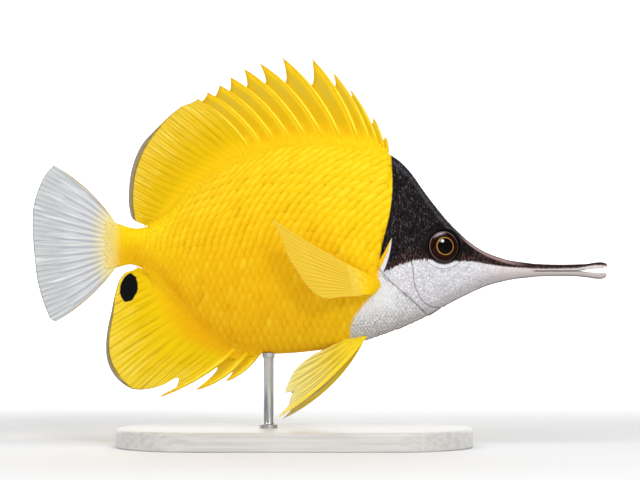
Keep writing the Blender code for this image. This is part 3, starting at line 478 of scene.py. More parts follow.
def skin_fields(x, z):
    """The markings at places of the side view, with distances in millimetres to their borders."""
    sliver = sliver_edges(z)
    ends = np.minimum(z - SLIVER_ENDS[0], SLIVER_ENDS[1] - z)
    in_sliver = np.minimum(np.minimum(x - sliver[..., 0], sliver[..., 1] - x), ends)
    return {
        "yellow": yellow_at(x, z),
        "silver": silver_at(x, z),
        "mask_rear": x - mask_rear(z),
        "mask_low": z - mask_lower(x),
        "crest": back(x) - z,
        "keel": z - np.where(x > MOUTH_X, jaw_bottom(x), belly(x)),
        "from_eye": np.hypot(x - EYE_X, z - EYE_Z),
        "in_sliver": in_sliver,
        "in_silver": x - chest_edge(z),
        "ahead": x,
    }


# Materials


class Look:
    """A material with one Principled shader, and short ways to wire its nodes."""

    def __init__(self, name, **values):
        self.material = bpy.data.materials.new(name)
        self.material.use_nodes = True
        self.nodes = self.material.node_tree.nodes
        self.links = self.material.node_tree.links
        self.shader = self.nodes["Principled BSDF"]
        for key, value in values.items():
            self.shader.inputs[key.replace("_", " ").title().replace("Ior", "IOR")].default_value = value

    def node(self, kind, settings=None, **inputs):
        made = self.nodes.new(kind)
        for key, value in (settings or {}).items():
            setattr(made, key, value)
        for key, value in inputs.items():
            self.feed(made.inputs[key], value)
        return made

    def feed(self, socket, value):
        if isinstance(value, bpy.types.NodeSocket):
            self.links.new(value, socket)
        elif isinstance(value, str):
            socket.default_value = (*linear(value), 1.0)
        else:
            socket.default_value = value

    def field(self, name, colour=False):
        made = self.node("ShaderNodeAttribute", {"attribute_name": name})
        return made.outputs["Color" if colour else "Fac"]

    def math(self, operation, a, b=0.0):
        made = self.node("ShaderNodeMath", {"operation": operation})
        self.feed(made.inputs[0], a)
        self.feed(made.inputs[1], b)
        return made.outputs[0]

    def times(self, a, b):
        return self.math("MULTIPLY", a, b)

    def plus(self, a, b):
        return self.math("ADD", a, b)

    def minus(self, a, b):
        return self.math("SUBTRACT", a, b)

    def absolute(self, a):
        return self.math("ABSOLUTE", a)

    def ring(self, value, middle, far, near):
        """1 where the value is within near of the middle one, and 0 where it is further off than far."""
        return self.spread(self.absolute(self.minus(value, middle)), far, near)

    def spread(self, value, low, high, to_low=0.0, to_high=1.0):
        """Runs smoothly from to_low to to_high while the value goes from low to high."""
        made = self.node("ShaderNodeMapRange", {"interpolation_type": "SMOOTHSTEP"})
        for key, number in zip(("Value", "From Min", "From Max", "To Min", "To Max"),
                               (value, low, high, to_low, to_high)):
            self.feed(made.inputs[key], number)
        return made.outputs[0]

    def blend(self, share, a, b, kind="MIX"):
        made = self.node("ShaderNodeMix", {"data_type": "RGBA", "blend_type": kind})
        self.feed(made.inputs["Factor"], share)
        self.feed(made.inputs[6], a)
        self.feed(made.inputs[7], b)
        return made.outputs[2]

    def noise(self, size, detail=3.0, stretch=(1.0, 1.0, 1.0), roughness=0.55):
        """Noise with features of about this size in millimetres, longer along an axis by its stretch."""
        spot = self.node("ShaderNodeTexCoord").outputs["Object"]
        mapped = self.node("ShaderNodeMapping")
        self.feed(mapped.inputs["Vector"], spot)
        mapped.inputs["Scale"].default_value = [1000.0 / size / s for s in stretch]
        made = self.node("ShaderNodeTexNoise", Scale=1.0, Detail=detail, Roughness=roughness)
        self.feed(made.inputs["Vector"], mapped.outputs[0])
        return made.outputs["Fac"]

    def cells(self, size, output="Distance"):
        spot = self.node("ShaderNodeTexCoord").outputs["Object"]
        made = self.node("ShaderNodeTexVoronoi", Scale=1000.0 / size)
        self.feed(made.inputs["Vector"], spot)
        return made.outputs[output]

    def bump(self, height, depth, strength=1.0):
        made = self.node("ShaderNodeBump", Strength=strength, Distance=depth * MM)
        self.feed(made.inputs["Height"], height)
        self.links.new(made.outputs[0], self.shader.inputs["Normal"])

    def colour(self, value):
        self.feed(self.shader.inputs["Base Color"], value)

    def rough(self, value):
        self.feed(self.shader.inputs["Roughness"], value)


def yellow_coat(look, fine, lower, upper):
    """Yellow with a fine and a broad grain, with each scale's painted shade and painted highlight laid over
    it.
    """
    yellow = look.blend(look.spread(fine, 0.3, 0.7, 0.0, 0.20), look.field("yellow", True), "e59a02")
    yellow = look.blend(look.spread(look.noise(6.0, 2.0), 0.35, 0.7, 0.0, 0.12), yellow, "ffe21a")
    # Painted shade where a scale's shade field is low, a painted highlight where it is high.
    yellow = look.blend(look.times(lower, 0.62), yellow, "bf7c02")
    return look.blend(look.times(upper, 0.62), yellow, look.blend(0.55, yellow, "ffee40"))


def silver_coat(look, lower, upper):
    """Silver with faint pink, blue and brown grains, each scale's painted shade and painted highlight, a
    painted sheen on the chest, and painted shade greying it towards the keel with a dark painted outline
    along the lower edge.
    """
    keel, ahead = look.field("keel"), look.field("ahead")
    calm = look.spread(ahead, 46, 60, 1.0, 0.25)
    pearl = look.cells(0.75, "Color")
    silver = look.blend(look.times(calm, 0.16), look.field("silver", True), pearl, "SOFT_LIGHT")
    for size, low, high, at_low, at_high, colour in SILVER_GRAINS:
        grain = look.spread(look.noise(size), low, high, at_low, at_high)
        silver = look.blend(look.times(calm, grain), silver, colour)
    # Each scale's painted shade and painted highlight.
    silver = look.blend(look.times(lower, 0.34), silver, "827e82")
    silver = look.blend(look.times(upper, 0.60), silver, "ffffff")
    # A painted sheen on the chest.
    chest = look.times(look.spread(ahead, 27.0, 20.0), look.spread(keel, 18.0, 13.0))
    chest = look.times(chest, look.spread(keel, 5.5, 11.0, 0.0, 0.60))
    silver = look.blend(chest, silver, "fbfbf9")
    # Painted shade towards the keel and a dark painted outline along the lower edge.
    silver = look.blend(look.spread(keel, 6.0, 0.3, 0.0, 0.50), silver, "8b8480")
    return look.blend(look.spread(keel, 0.80, 0.15, 0.0, 0.72), silver, "5b4f4e")


def mask_coat(look, fine, upper):
    """Black and brown grains with the scales' painted highlights, rusty low down, with a painted sheen along
    the top and a painted pink highlight along the snout ridge.
    """
    ahead, crest = look.field("ahead"), look.field("crest")
    dark = look.blend(look.spread(look.noise(1.6, 4.0), 0.35, 0.7), MASK_BLACK, MASK_BROWN)
    grain = look.spread(look.noise(0.7, 2.0), 0.54, 0.68)
    dark = look.blend(look.times(grain, 0.08), dark, "6d5a55")
    # The scales' painted highlights, pale specks on the dark.
    dark = look.blend(look.times(upper, 0.38), dark, "9a939e")
    rusty = look.spread(look.field("mask_low"), 4.5, 0.0)
    grain = look.spread(look.noise(0.35, 2.0, (1.0, 1.0, 3.0)), 0.50, 0.62)
    dark = look.blend(look.times(rusty, look.times(grain, 0.55)), dark, "7d4f44")
    # A painted sheen along the top of the head.
    sheen = look.times(look.ring(crest, 2.2, 1.3, 0.0), look.spread(ahead, 44.0, 40.0, 0.0, 0.55))
    dark = look.blend(look.times(sheen, look.spread(fine, 0.35, 0.6)), dark, "64626f")
    # A painted pink highlight along the ridge of the snout.
    reach = look.times(look.spread(ahead, 43.0, 47.0), look.spread(ahead, 66.0, 57.0))
    pink = look.times(look.ring(crest, 0.75, 0.75, 0.0), reach)
    return look.blend(look.times(pink, 0.75), dark, "c7a6a3")


def mask_share(look, fine):
    """Where the mask lies, with a streaked lower border and a ragged rear one."""
    streak = look.minus(look.noise(0.45, 3.0, (1.0, 1.0, 4.5)), 0.5)
    reach = look.times(streak, look.spread(look.field("ahead"), 36, 50, 2.8, 0.6))
    low_share = look.spread(look.plus(look.field("mask_low"), reach), -0.25, 0.35)
    ragged = look.times(look.minus(fine, 0.5), 0.5)
    rear_share = look.spread(look.plus(look.field("mask_rear"), ragged), -0.22, 0.22)
    return look.times(low_share, rear_share)


def fish_look(name):
    """Skin and scales share this: yellow body, dark mask, silver cheek and chest."""
    look = Look(name, coat_weight=0.02, coat_roughness=0.25, specular_ior_level=0.06)
    fine, shade = look.noise(0.5, 4.0), look.field("shade")
    lower, upper = look.spread(shade, 0.0, -1.0), look.spread(shade, 0.0, 1.0)
    in_silver, away = look.field("in_silver"), look.field("from_eye")
    edge = look.plus(in_silver, look.times(look.noise(0.6), 0.9))
    yellow, silver = yellow_coat(look, fine, lower, upper), silver_coat(look, lower, upper)
    coat = look.blend(look.spread(edge, -0.55, 1.35), yellow, silver)
    for middle, far, near, strength, colour in RINGS_ROUND_EYE:
        coat = look.blend(look.times(look.ring(away, middle, far, near), strength), coat, colour)
    dark_ring = look.times(look.ring(away, 5.55, 0.45, 0.15), 0.8)
    dark = look.blend(dark_ring, mask_coat(look, fine, upper), "0f0c0d")
    coat = look.blend(mask_share(look, fine), coat, dark)
    coat = look.blend(look.times(look.spread(away, 5.75, 5.40), 0.95), coat, "0d0a0b")
    # The sliver behind the gill cover is yellow behind and white in front
    sliver = look.blend(look.spread(in_silver, -0.1, 0.15), "f8bd1c", "dfe0e4")
    coat = look.blend(look.spread(look.field("in_sliver"), -0.05, 0.18), coat, sliver)
    for line, far, near, strength, colour in DARK_LINES:
        drawn = look.spread(look.absolute(look.field(line)), far, near, 0.0, strength)
        coat = look.blend(drawn, coat, colour)
    look.colour(coat)
    look.rough(look.spread(fine, 0.3, 0.7, SKIN_ROUGH, SKIN_ROUGH + 0.12))
    look.bump(look.plus(look.times(look.cells(0.55), 0.6), look.noise(0.3, 2.0)), 0.09, 0.6)
    return look.material


# The body's surface


class Body:
    """The fine form of the body as a grid: rings along x, each of four quarters of equal steps."""

    def __init__(self):
        self.x = np.concatenate([np.arange(a, b, step) for a, b, step in RING_STEPS] + [[MOUTH_X]])
        turns = np.linspace(0, math.pi / 2, 500)
        ups = []
        self.lengths = []
        for upper in (True, False):
            quarter, lengths = [], []
            for x in self.x:
                inner = max(x, TAIL_ROOT_X)
                edge = back_edge(inner) if upper else belly_edge(inner)
                inset = INSET_HEAD if x > 24 else INSET_TRUNK
                inset = mix(inset, 0.05, float(ramp(50, 66, x)))
                top = back(inner) if upper else belly(inner)
                reach = abs(top - widest(inner)) - inset
                half = half_width(inner) - inset
                if x < TAIL_ROOT_X:
                    past = (TAIL_ROOT_X - x) / (TAIL_ROOT_X - TAIL_BLADE_X)
                    half = mix(half, 0.30, past**0.7)
                    reach += (2.6 if upper else 2.2) * past**1.2
                y = half * np.cos(turns) ** edge
                z = reach * np.sin(turns)
                arc = np.concatenate([[0], np.cumsum(np.hypot(np.diff(y), np.diff(z)))])
                even = np.linspace(0, arc[-1], QUARTER + 1)
                quarter.append(joined(np.interp(even, arc, y), np.interp(even, arc, z)))
                lengths.append(arc[-1])
            ups.append(np.array(quarter))
            self.lengths.append(np.array(lengths))
        level = widest(np.maximum(self.x, TAIL_ROOT_X))
        rings = []
        for step in range(4 * QUARTER):
            part, place = divmod(step, QUARTER)
            place = QUARTER - place if part in (1, 3) else place
            quarter = ups[0] if part < 2 else ups[1]
            y = quarter[:, place, 0] * (1 if part in (0, 3) else -1)
            z = level + quarter[:, place, 1] * (1 if part < 2 else -1)
            rings.append(joined(self.x, y, z))
        self.points = np.stack(rings, 1)
        self.normals = self.find_normals()
        self.points = self.points + self.normals * self.relief()[..., None]
        self.normals = self.find_normals()

    def find_normals(self):
        p = self.points
        round_way = np.roll(p, -1, axis=1) - np.roll(p, 1, axis=1)
        long_way = np.gradient(p, axis=0)
        n = np.cross(round_way, long_way)
        n /= np.linalg.norm(n, axis=-1, keepdims=True) + 1e-12
        centre = p.mean(1, keepdims=True)
        outward = np.einsum("ijk,ijk->", n, p - centre)
        return n if outward > 0 else -n

    def relief(self):
        """Height of folds, rims and grooves over the smooth form."""
        x, z = self.points[..., 0], self.points[..., 2]
        height = np.zeros_like(x)
        ahead = signed_distance(x, z, GILL_LINE[3:9])
        low_part = ramp(67.0, 62.0, z)
        height += 0.34 * ramp(-0.15, 0.35, ahead) * ramp(7.5, 0.8, ahead) * low_part
        height -= 0.30 * bell(ahead + 0.3, 0.35) * low_part * ramp(38.0, 42.0, z)
        cheek = signed_distance(x, z, PREOPERCLE)
        near = ramp(1.0, 0.2, end_distance(x, z, PREOPERCLE))
        height -= 0.20 * bell(cheek, 0.28) * near
        height += 0.16 * ramp(0.0, 0.5, cheek) * ramp(3.0, 0.5, cheek) * near
        away = np.hypot(x - EYE_X, z - EYE_Z)
        height += 0.42 * bell(away - 5.35, 0.42)
        height += 0.22 * bell(away - 6.6, 0.55) * ramp(EYE_Z + 1.0, EYE_Z - 3.0, z)
        height -= 1.9 * ramp(5.05, 4.3, away)
        for nx, nz, radius in NOSTRILS:
            gone = np.hypot(x - nx, z - nz) / radius
            height += 0.20 * bell(gone - 1.25, 0.45) - 0.55 * ramp(1.0, 0.3, gone)
        brow = signed_distance(x, z, ((33.0, 70.5), (38.5, 70.0), (44.0, 66.5)))
        height += 0.12 * bell(brow, 1.2) * ramp(12.0, 6.0, away)
        return height

    def place(self, x, arc, side, height=0.0):
        """Points over the skin at x and at an arc above (or below) the widest line, on one side."""
        k = np.interp(x, self.x, np.arange(len(self.x)))
        up, down = self.arc_limits(x)
        length = np.where(arc >= 0, up, -down)
        i = np.clip(arc / length, -1, 1) * QUARTER
        full = 4 * QUARTER
        step = i % full if side > 0 else (2 * QUARTER - i) % full
        k0 = np.clip(np.floor(k).astype(int), 0, len(self.x) - 2)
        i0 = np.floor(step).astype(int)
        ring_share, step_share = (k - k0)[..., None], (step - i0)[..., None]

        def sample(grid):
            a, b = grid[k0, i0 % full], grid[k0, (i0 + 1) % full]
            c, d = grid[k0 + 1, i0 % full], grid[k0 + 1, (i0 + 1) % full]
            return mix(mix(a, b, step_share), mix(c, d, step_share), ring_share)

        return sample(self.points) + sample(self.normals) * np.asarray(height)[..., None]

    def arc_limits(self, x):
        return np.interp(x, self.x, self.lengths[0]), -np.interp(x, self.x, self.lengths[1])


def signed_distance(x, z, line):
    """Distance to an open side-view line, positive on the side of the snout or, past an end, as near it."""
    dense = along(line)(np.linspace(0, 1, 120))
    best = np.full(np.shape(x), 1e9)
    sign = np.ones(np.shape(x))
    for a, b in zip(dense[:-1], dense[1:]):
        way = b - a
        share = np.clip(((x - a[0]) * way[0] + (z - a[1]) * way[1]) / (way @ way), 0, 1)
        dx, dz = x - a[0] - way[0] * share, z - a[1] - way[1] * share
        gone = dx * dx + dz * dz
        cross = way[0] * dz - way[1] * dx
        nearer = gone < best
        best = np.where(nearer, gone, best)
        sign = np.where(nearer, np.sign(cross), sign)
    return np.sqrt(best) * np.where(sign == 0, 1.0, sign)


def end_distance(x, z, line):
    """How far a place lies past either end of a line, along the line's own way there."""
    dense = along(line)(np.linspace(0, 1, 60))
    past = np.zeros(np.shape(x))
    for end, inner in ((dense[0], dense[1]), (dense[-1], dense[-2])):
        way = (end - inner) / np.linalg.norm(end - inner)
        past = np.maximum(past, (x - end[0]) * way[0] + (z - end[1]) * way[1])
    return past


def line_distance(x, z, line, fade):
    """Distance to a line of the side view, made greater past its ends over a length."""
    return np.abs(signed_distance(x, z, line)) + 2.0 * ramp(0.0, fade, end_distance(x, z, line))


def groove_field(x, z):
    """Distance to the nearest of the fine dark lines on the gill cover and cheek."""
    return np.minimum(line_distance(x, z, GILL_LINE[5:9], 1.0), line_distance(x, z, PREOPERCLE, 1.0))


def groove_fields(x, z):
    """Distances to the fine dark lines of the gill cover and cheek, and of the mouth."""
    mouth = np.full(np.shape(x), 9.0)
    near = (x > 52) & (np.abs(z - 55.4) < 3)
    if near.any():
        mouth[near] = line_distance(x[near], z[near], MOUTH_LINE, 3.0)
        mouth[near] += 0.4 * ramp(68.0, 63.5, x[near])
    lips = (x > MOUTH_X) & (np.abs(z - 55.4) < 3)
    if lips.any():
        over, under = upper_lip(x[lips]), lower_lip(x[lips])
        shut_line = np.abs(z[lips] - (over + under) / 2) - 0.08
        parted = np.maximum(z[lips] - over, under - z[lips])
        apart = mix(shut_line, parted, ramp(80.5, 82.5, x[lips]))
        mouth[lips] = np.clip(apart, 0.0, None) + 0.05 + 0.30 * ramp(81.0, 87.0, x[lips])
    return {"groove": groove_field(x, z), "mouth": mouth}


def jaw_rings(table, side, steps):
    """Outer arcs and inner lines of one jaw, which grow out of the half ring at the mouth's corner."""
    x, top, bottom, half = along(table)(np.linspace(0, 1, steps)).T
    share = np.clip((x - MOUTH_X) / (table[-1][0] - MOUTH_X), 0, 1) ** 4
    shut = mix(mix(0.16, 0.28, ramp(75.5, 80.6, x)), 0.09, ramp(81.0, 84.5, x))
    inner, outer = (bottom - shut, top - 0.05) if side > 0 else (top + shut, bottom + 0.05)
    level = mix(inner, outer, mix(0.10, 0.5, share))

    def rows(turns, reach, round_power):
        y = (half[:, None] - 0.03) * np.cos(turns)
        z = level[:, None] + (reach - level)[:, None] * np.sin(turns) ** round_power
        return joined(x[:, None] + 0 * turns, y, z)

    arc = rows(np.linspace(0, math.pi, 2 * QUARTER + 1), outer, 1.0)
    return arc, rows(np.linspace(0, math.pi, MOUTH_STEPS)[1:-1], inner, 0.45)


def make_skin(body, look):
    """One skin over the head, trunk, stalk, snout and both jaws, parted only by the mouth."""
    rings, sides = body.points.shape[:2]
    points = [body.points.reshape(-1, 3)]
    index = np.arange(rings * sides).reshape(rings, sides)
    onward = np.roll(index, -1, axis=1)
    quads = [joined(index[:-1], onward[:-1], onward[1:], index[1:]).reshape(-1, 4)]
    triangles = []
    count = rings * sides
    # The tail end is closed by a fan round its middle
    points.append(body.points[:1].mean(1))
    triangles.append(joined(np.full(sides, count), onward[0], index[0]))
    count += 1
    last = index[-1]
    half_ring = 2 * QUARTER
    corner_a, corner_b = body.points[-1, 0], body.points[-1, half_ring]
    shares = (1 - np.cos(np.linspace(0, math.pi, MOUTH_STEPS)[1:-1])) / 2
    cleft = corner_a + (corner_b - corner_a) * shares[:, None]
    points.append(cleft)
    cleft_index = count + np.arange(len(cleft))
    count += len(cleft)
    for side, table in ((1, UPPER_JAW), (-1, LOWER_JAW)):
        arc, within = jaw_rings(table, side, JAW_STEPS)
        steps = len(arc)
        arc_index = count + np.arange(steps * (half_ring + 1)).reshape(steps, -1)
        count += arc_index.size
        in_index = count + np.arange(steps * within.shape[1]).reshape(steps, -1)
        count += in_index.size
        if side > 0:
            first = np.append(last[:half_ring], last[half_ring])
        else:
            first = np.append(last[0], last[:half_ring - 1:-1])
        points += [arc.reshape(-1, 3), within.reshape(-1, 3)]
        outer_rows = np.vstack([first, arc_index])
        inner_rows = np.vstack([cleft_index, in_index])
        inner_rows = np.column_stack([outer_rows[:, :1], inner_rows, outer_rows[:, -1:]])
        for rows, flip in ((outer_rows, side > 0), (inner_rows, side < 0)):
            corners = rows[:-1, :-1], rows[:-1, 1:], rows[1:, 1:], rows[1:, :-1]
            block = np.stack(corners, -1).reshape(-1, 4)
            quads.append(block if flip else block[:, ::-1])
        tip = np.concatenate([arc_index[-1], in_index[-1][::-1]])
        points.append(np.concatenate([arc[-1], within[-1]]).mean(0)[None])
        fan = joined(np.full(len(tip), count), tip, np.roll(tip, -1))
        triangles.append(fan if side > 0 else fan[:, ::-1])
        count += 1
    points = np.concatenate(points)
    fields = skin_fields(points[:, 0], points[:, 2])
    fields.update(groove_fields(points[:, 0], points[:, 2]))
    fields["shade"] = np.zeros(len(points))
    made = new_object("skin", points, [np.concatenate(quads), np.concatenate(triangles)], look, fields)
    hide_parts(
        "head", "gill_cover_left", "gill_cover_right", "snout", "upper_jaw", "lower_jaw", "trunk",
        "tail_stalk",
    )


# Scales


def scale_template(rings, spokes):
    """A scale seen from outside: its points' radii and turns, and its closed faces."""
    radii, turns, kinds = [0.0], [0.0], [0]
    for k, radius in enumerate(rings):
        for i in range(spokes):
            radii.append(radius)
            turns.append(math.tau * (i + 0.5 * (k % 2)) / spokes)
            kinds.append(1)
    for i in range(spokes):
        radii.append(1.0)
        turns.append(math.tau * (i + 0.5 * ((len(rings) - 1) % 2)) / spokes)
        kinds.append(2)
    faces = []
    for i in range(spokes):
        faces.append((0, 1 + i, 1 + (i + 1) % spokes))
    for k in range(len(rings)):
        a, b = 1 + k * spokes, 1 + (k + 1) * spokes
        outermost = k == len(rings) - 1
        for i in range(spokes):
            j = (i + 1) % spokes
            if outermost or k % 2:
                faces += [(a + i, b + i, b + j), (a + i, b + j, a + j)]
            else:
                faces += [(a + i, b + i, a + j), (a + j, b + i, b + j)]
    base = 1 + len(rings) * spokes
    for i in range(1, spokes - 1):
        faces.append((base, base + i + 1, base + i))
    return np.array(radii), np.array(turns), np.array(kinds), np.array(faces)


class Coat:
    """Scales laid over a surface, each a closed shingle with its free edge towards the tail."""

    def __init__(self, rings, spokes):
        self.radii, self.turns, self.kinds, self.faces = scale_template(rings, spokes)

    def lay(self, name, look, surface, spots, sizes, lift, sink, seed, slot_name, vivid=1.0, low=None,
            turned=0.0, highlight_dots=0.0, long=0.5, valley=None, uv_arc=None, blunt=1.55, crown=0.10, tilt=0.0):
        """spots are (x, arc, side); sizes are (rear, front, half height); surface gives the points."""
        draw = np.random.default_rng(seed)
        count, per = len(spots), len(self.radii)
        rear, front, high = sizes.T
        turn = self.turns[None, :]
        radius = self.radii[None, :]
        power = np.asarray(blunt).reshape(-1, 1)
        unit = (np.abs(np.cos(turn)) ** power + np.abs(np.sin(turn)) ** power) ** (-1 / power)
        a = radius * unit * np.cos(turn)
        b = radius * unit * np.sin(turn)
        jitter = 1 + 0.045 * draw.standard_normal((count, 1))
        backward = np.where(a > 0, a * rear[:, None], a * front[:, None]) * jitter
        upward = b * high[:, None] * jitter
        share = np.clip((backward + front[:, None]) / (rear + front)[:, None], 0.0, None)
        lift = lift * (np.ones(count) if low is None else low)[:, None]
        tilt = np.asarray(tilt).reshape(-1, 1)
        top = mix(-sink, lift, share**1.2) + 0.9 * lift * (1 - radius**2) + tilt * lift * b
        height = np.where(self.kinds[None, :] == 2, -sink - 0.05, top)
        height = np.where((self.kinds[None, :] == 1) & (radius > 0.98), top - 0.25 * lift, height)
        angle = 0.05 * draw.standard_normal((count, 1)) + np.asarray(turned).reshape(-1, 1)
        x = spots[:, 0][:, None] - backward * np.cos(angle) + upward * np.sin(angle)
        arc = spots[:, 1][:, None] + upward * np.cos(angle) + backward * np.sin(angle)
        side = spots[0, 2]
        points = surface(x, arc, side, height)
        fields = skin_fields(points[..., 0], points[..., 2])
        fields.update(groove_fields(points[..., 0], points[..., 2]))
        if valley is not None:
            # Painted shade in the hollows between the spines, and the painted shadow of the crease.
            valley_shade = valley(points[..., 0], points[..., 2])
            fields["yellow"] = tinged(fields["yellow"], VALLEY_SHADE_GOLD, valley_shade)
            crease = crease_share(points[..., 0], points[..., 2])
            fields["yellow"] = tinged(fields["yellow"], CREASE, crease)
        long, crown = np.asarray(long).reshape(-1, 1), np.asarray(crown).reshape(-1, 1)
        # The shade field is painted light and shade: a painted highlight on each scale's exposed middle, and
        # painted shade round its rim, on its underside and next to the rear edge of the scale in front.
        spot = np.exp(-(((a - 0.30) / 0.36) ** 2) - ((b - crown) / long) ** 2)
        rim = ramp(0.80, 1.0, radius) * (0.60 + 0.40 * np.clip(-np.sin(turn), 0, 1))
        glint = 1.20 * spot - 0.85 * rim - 0.12 - 0.45 * ramp(0.0, -0.4, a)
        glint = glint - tilt * (0.25 + 0.60 * ramp(-0.2, -0.9, b))
        glint = np.where(self.kinds[None, :] == 2, -0.9, glint)
        # A share of the scales get a bright painted highlight dot at their centre.
        dot_highlight = highlight_dots * draw.random((count, 1)) ** 5
        glint = glint + dot_highlight * ramp(0.55, 0.05, radius) * (self.kinds[None, :] < 2)
        fields["shade"] = np.clip(glint * vivid + 0.14 * draw.standard_normal((count, 1)), -1, 1)
        flat = {key: v.reshape(count * per, -1).squeeze() for key, v in fields.items()}
        faces = (self.faces[None] + per * np.arange(count)[:, None, None]).reshape(-1, 3)
        root_u = 0.03 + 0.94 * (spots[:, 0] - UNWRAP_REAR) / UNWRAP_LENGTH
        root_v = 0.5 + side * (0.25 + (spots[:, 1] if uv_arc is None else uv_arc) * UNWRAP_STEP)
        u, v = root_u[:, None] + UV_PATCH_HALF * a, root_v[:, None] + UV_PATCH_HALF * b
        uv = joined(u, v).reshape(-1, 2)
        made = new_object(name, points.reshape(-1, 3), [faces], look, flat, uv)


def lattice(body, side, start, end, pitch, row_step, shrink, stagger, keep, swell=0.0):
    """Rows of spots over the body from start back to end, smaller where the body is lower.

    Each row starts further back than the one below by its stagger, a share of the pitch.
    """
    tall = max(body.lengths[0])
    rows = np.arange(-90, 91)
    place = rows * row_step
    shift = np.cumsum(stagger(place)) % 1.0
    spread = 1 + 0.02 * swell * np.clip(place - 6.0, 0.0, 16.0)
    place = place + 0.01 * swell * np.clip(place - 6.0, 0.0, 16.0) ** 2
    spots, sizes = [], []
    pitches = pitch * mix(0.97, 1.14, swell * ramp(-5.0, 22.0, place))
    for row_place, row_shift, row_spread, pitch in zip(place, shift, spread, pitches):
        x = start - row_shift * pitch
        while x > end:
            up, down = body.arc_limits(x)
            factor = ((up if row_place >= 0 else -down) / tall) ** shrink
            along_size = min(1.0, ((up - down) / (2 * tall)) ** (0.6 * shrink))
            arc = row_place * factor
            if down + 0.35 * row_step < arc < up - 0.35 * row_step:
                spots.append((x, arc, side, row_place))
                sizes.append((pitch * along_size, row_step * row_spread * factor))
            x -= pitch * along_size
    spots, sizes = np.array(spots), np.array(sizes)
    where = body.place(spots[:, 0], spots[:, 1], side)
    kept = keep(where[:, 0], where[:, 2])
    return spots[kept], sizes[kept]


def gill_x(z):
    """Where the head ends at this height."""
    line = along(GILL_LINE)(np.linspace(0, 1, 200))
    order = np.argsort(line[:, 1])
    return np.interp(z, line[order, 1], line[order, 0])


def even_rows(place):
    return 0.5 + 0 * place


def make_trunk_scales(coat, body, look, side, word):
    """Scales of the flank and back, in rows that lean more and stand out more higher up, where their painted
    highlight and painted shade are also stronger.
    """
    def keep(x, z):
        behind_gill = x < gill_x(z) - mix(0.9, 0.7, ramp(64, 68, z))
        return behind_gill & ((x < chest_edge(z) - 0.2) | (z > 57))

    def stagger(place):
        return np.interp(place, *TRUNK_LEAN)

    spots, sizes = lattice(body, side, *TRUNK_SCALES, stagger, keep, swell=1.0)
    draw = np.random.default_rng(100 + side)
    spots[:, :2] += 0.06 * draw.standard_normal((len(spots), 2))
    upper = ramp(-8.0, 16.0, spots[:, 3])
    turned = np.radians(np.interp(spots[:, 3], *TRUNK_TURN))
    turned = turned + 0.04 * draw.standard_normal(len(spots))
    pitch, row = sizes.T
    rear, front = mix(0.55, 0.50, upper) * pitch, mix(1.15, 1.05, upper) * pitch
    shape = joined(rear, front, mix(0.98, 1.22, upper) * row)
    up, down = body.arc_limits(spots[:, 0])
    inside = np.minimum(up - spots[:, 1], spots[:, 1] - down)
    rearward, stalk = ramp(-30, -54, spots[:, 0]), ramp(-50, -58, spots[:, 0])
    low = mix(0.35, 1.0, ramp(1.0, 5.0, inside)) * mix(1.0, 0.45, rearward)
    vivid = (mix(0.50, 0.95, upper) * mix(1.0, 0.75, rearward) * mix(1.0, 0.35, stalk))[:, None]
    coat.lay(f"scales_trunk_{word}", look, body.place, spots, shape, 0.14, 0.10, 11 + side, "body_skin",
             vivid, low, turned, long=mix(0.5, 0.60, upper), blunt=mix(1.6, 2.0, upper),
             crown=mix(0.10, 0.18, upper), tilt=0.08 * upper)


def make_chest_scales(coat, body, look, side, word):
    def keep(x, z):
        return (x < gill_x(z) - 0.5) & (x > chest_edge(z) - 0.3) & (z < 57)

    spots, sizes = lattice(body, side, *CHEST_SCALES, even_rows, keep)
    pitch, row = sizes.T
    shape = joined(0.62 * pitch, 0.95 * pitch, 1.15 * row)
    coat.lay(f"scales_chest_{word}", look, body.place, spots, shape, 0.12, 0.08, 21 + side, "body_skin", 0.9,
             highlight_dots=0.8)


def make_head_scales(coat, body, look, side, word):
    """Small scales over the head, but none at the eye, the nostrils and the fine dark lines."""
    def keep(x, z):
        clear_of_eye = np.hypot(x - EYE_X, z - EYE_Z) > BARE_ROUND_EYE
        clear_of_nostrils = np.hypot(x - NOSTRILS_MIDDLE[0], z - NOSTRILS_MIDDLE[1]) > BARE_ROUND_NOSTRILS
        clear_of_lines = np.abs(groove_field(x, z)) > 0.35
        return (x > gill_x(z) + 0.5) & clear_of_eye & clear_of_lines & clear_of_nostrils

    spots, sizes = lattice(body, side, *HEAD_SCALES, even_rows, keep)
    spots[:, :2] += 0.11 * np.random.default_rng(90 + side).standard_normal((len(spots), 2))
    fade = ramp(60.0, 46.0, spots[:, 0])[:, None]
    pitch, row = sizes.T
    shape = joined(0.60 * pitch, 0.85 * pitch, 1.08 * row) * mix(0.7, 1.0, fade)
    coat.lay(f"scales_head_{word}", look, body.place, spots, shape, 0.06, 0.05, 31 + side, "head_skin", 0.45,
             highlight_dots=1.3)


def make_scales(body, look):
    big, small = Coat(*BIG_SCALE), Coat(*SMALL_SCALE)
    for side, word in SIDES:
        make_trunk_scales(big, body, look, side, word)
        make_chest_scales(small, body, look, side, word)
        make_head_scales(small, body, look, side, word)


# Eyes


def eye_frame(side):
    """The eye's centre and its axes: across, up and out."""
    reach = 1.5
    lean_x = (flank(EYE_X + reach, EYE_Z) - flank(EYE_X - reach, EYE_Z)) / (2 * reach)
    lean_z = (flank(EYE_X, EYE_Z + reach) - flank(EYE_X, EYE_Z - reach)) / (2 * reach)
    out = np.array([-lean_x, side, -EYE_TILT * lean_z])
    out /= np.linalg.norm(out)
    surface = np.array([EYE_X, side * flank(EYE_X, EYE_Z), EYE_Z])
    across = np.cross(out, (0, 0, 1.0))
    across /= np.linalg.norm(across)
    return surface + out * (EYE_STANDS_OUT - EYE_DEPTH), across, np.cross(across, out), out


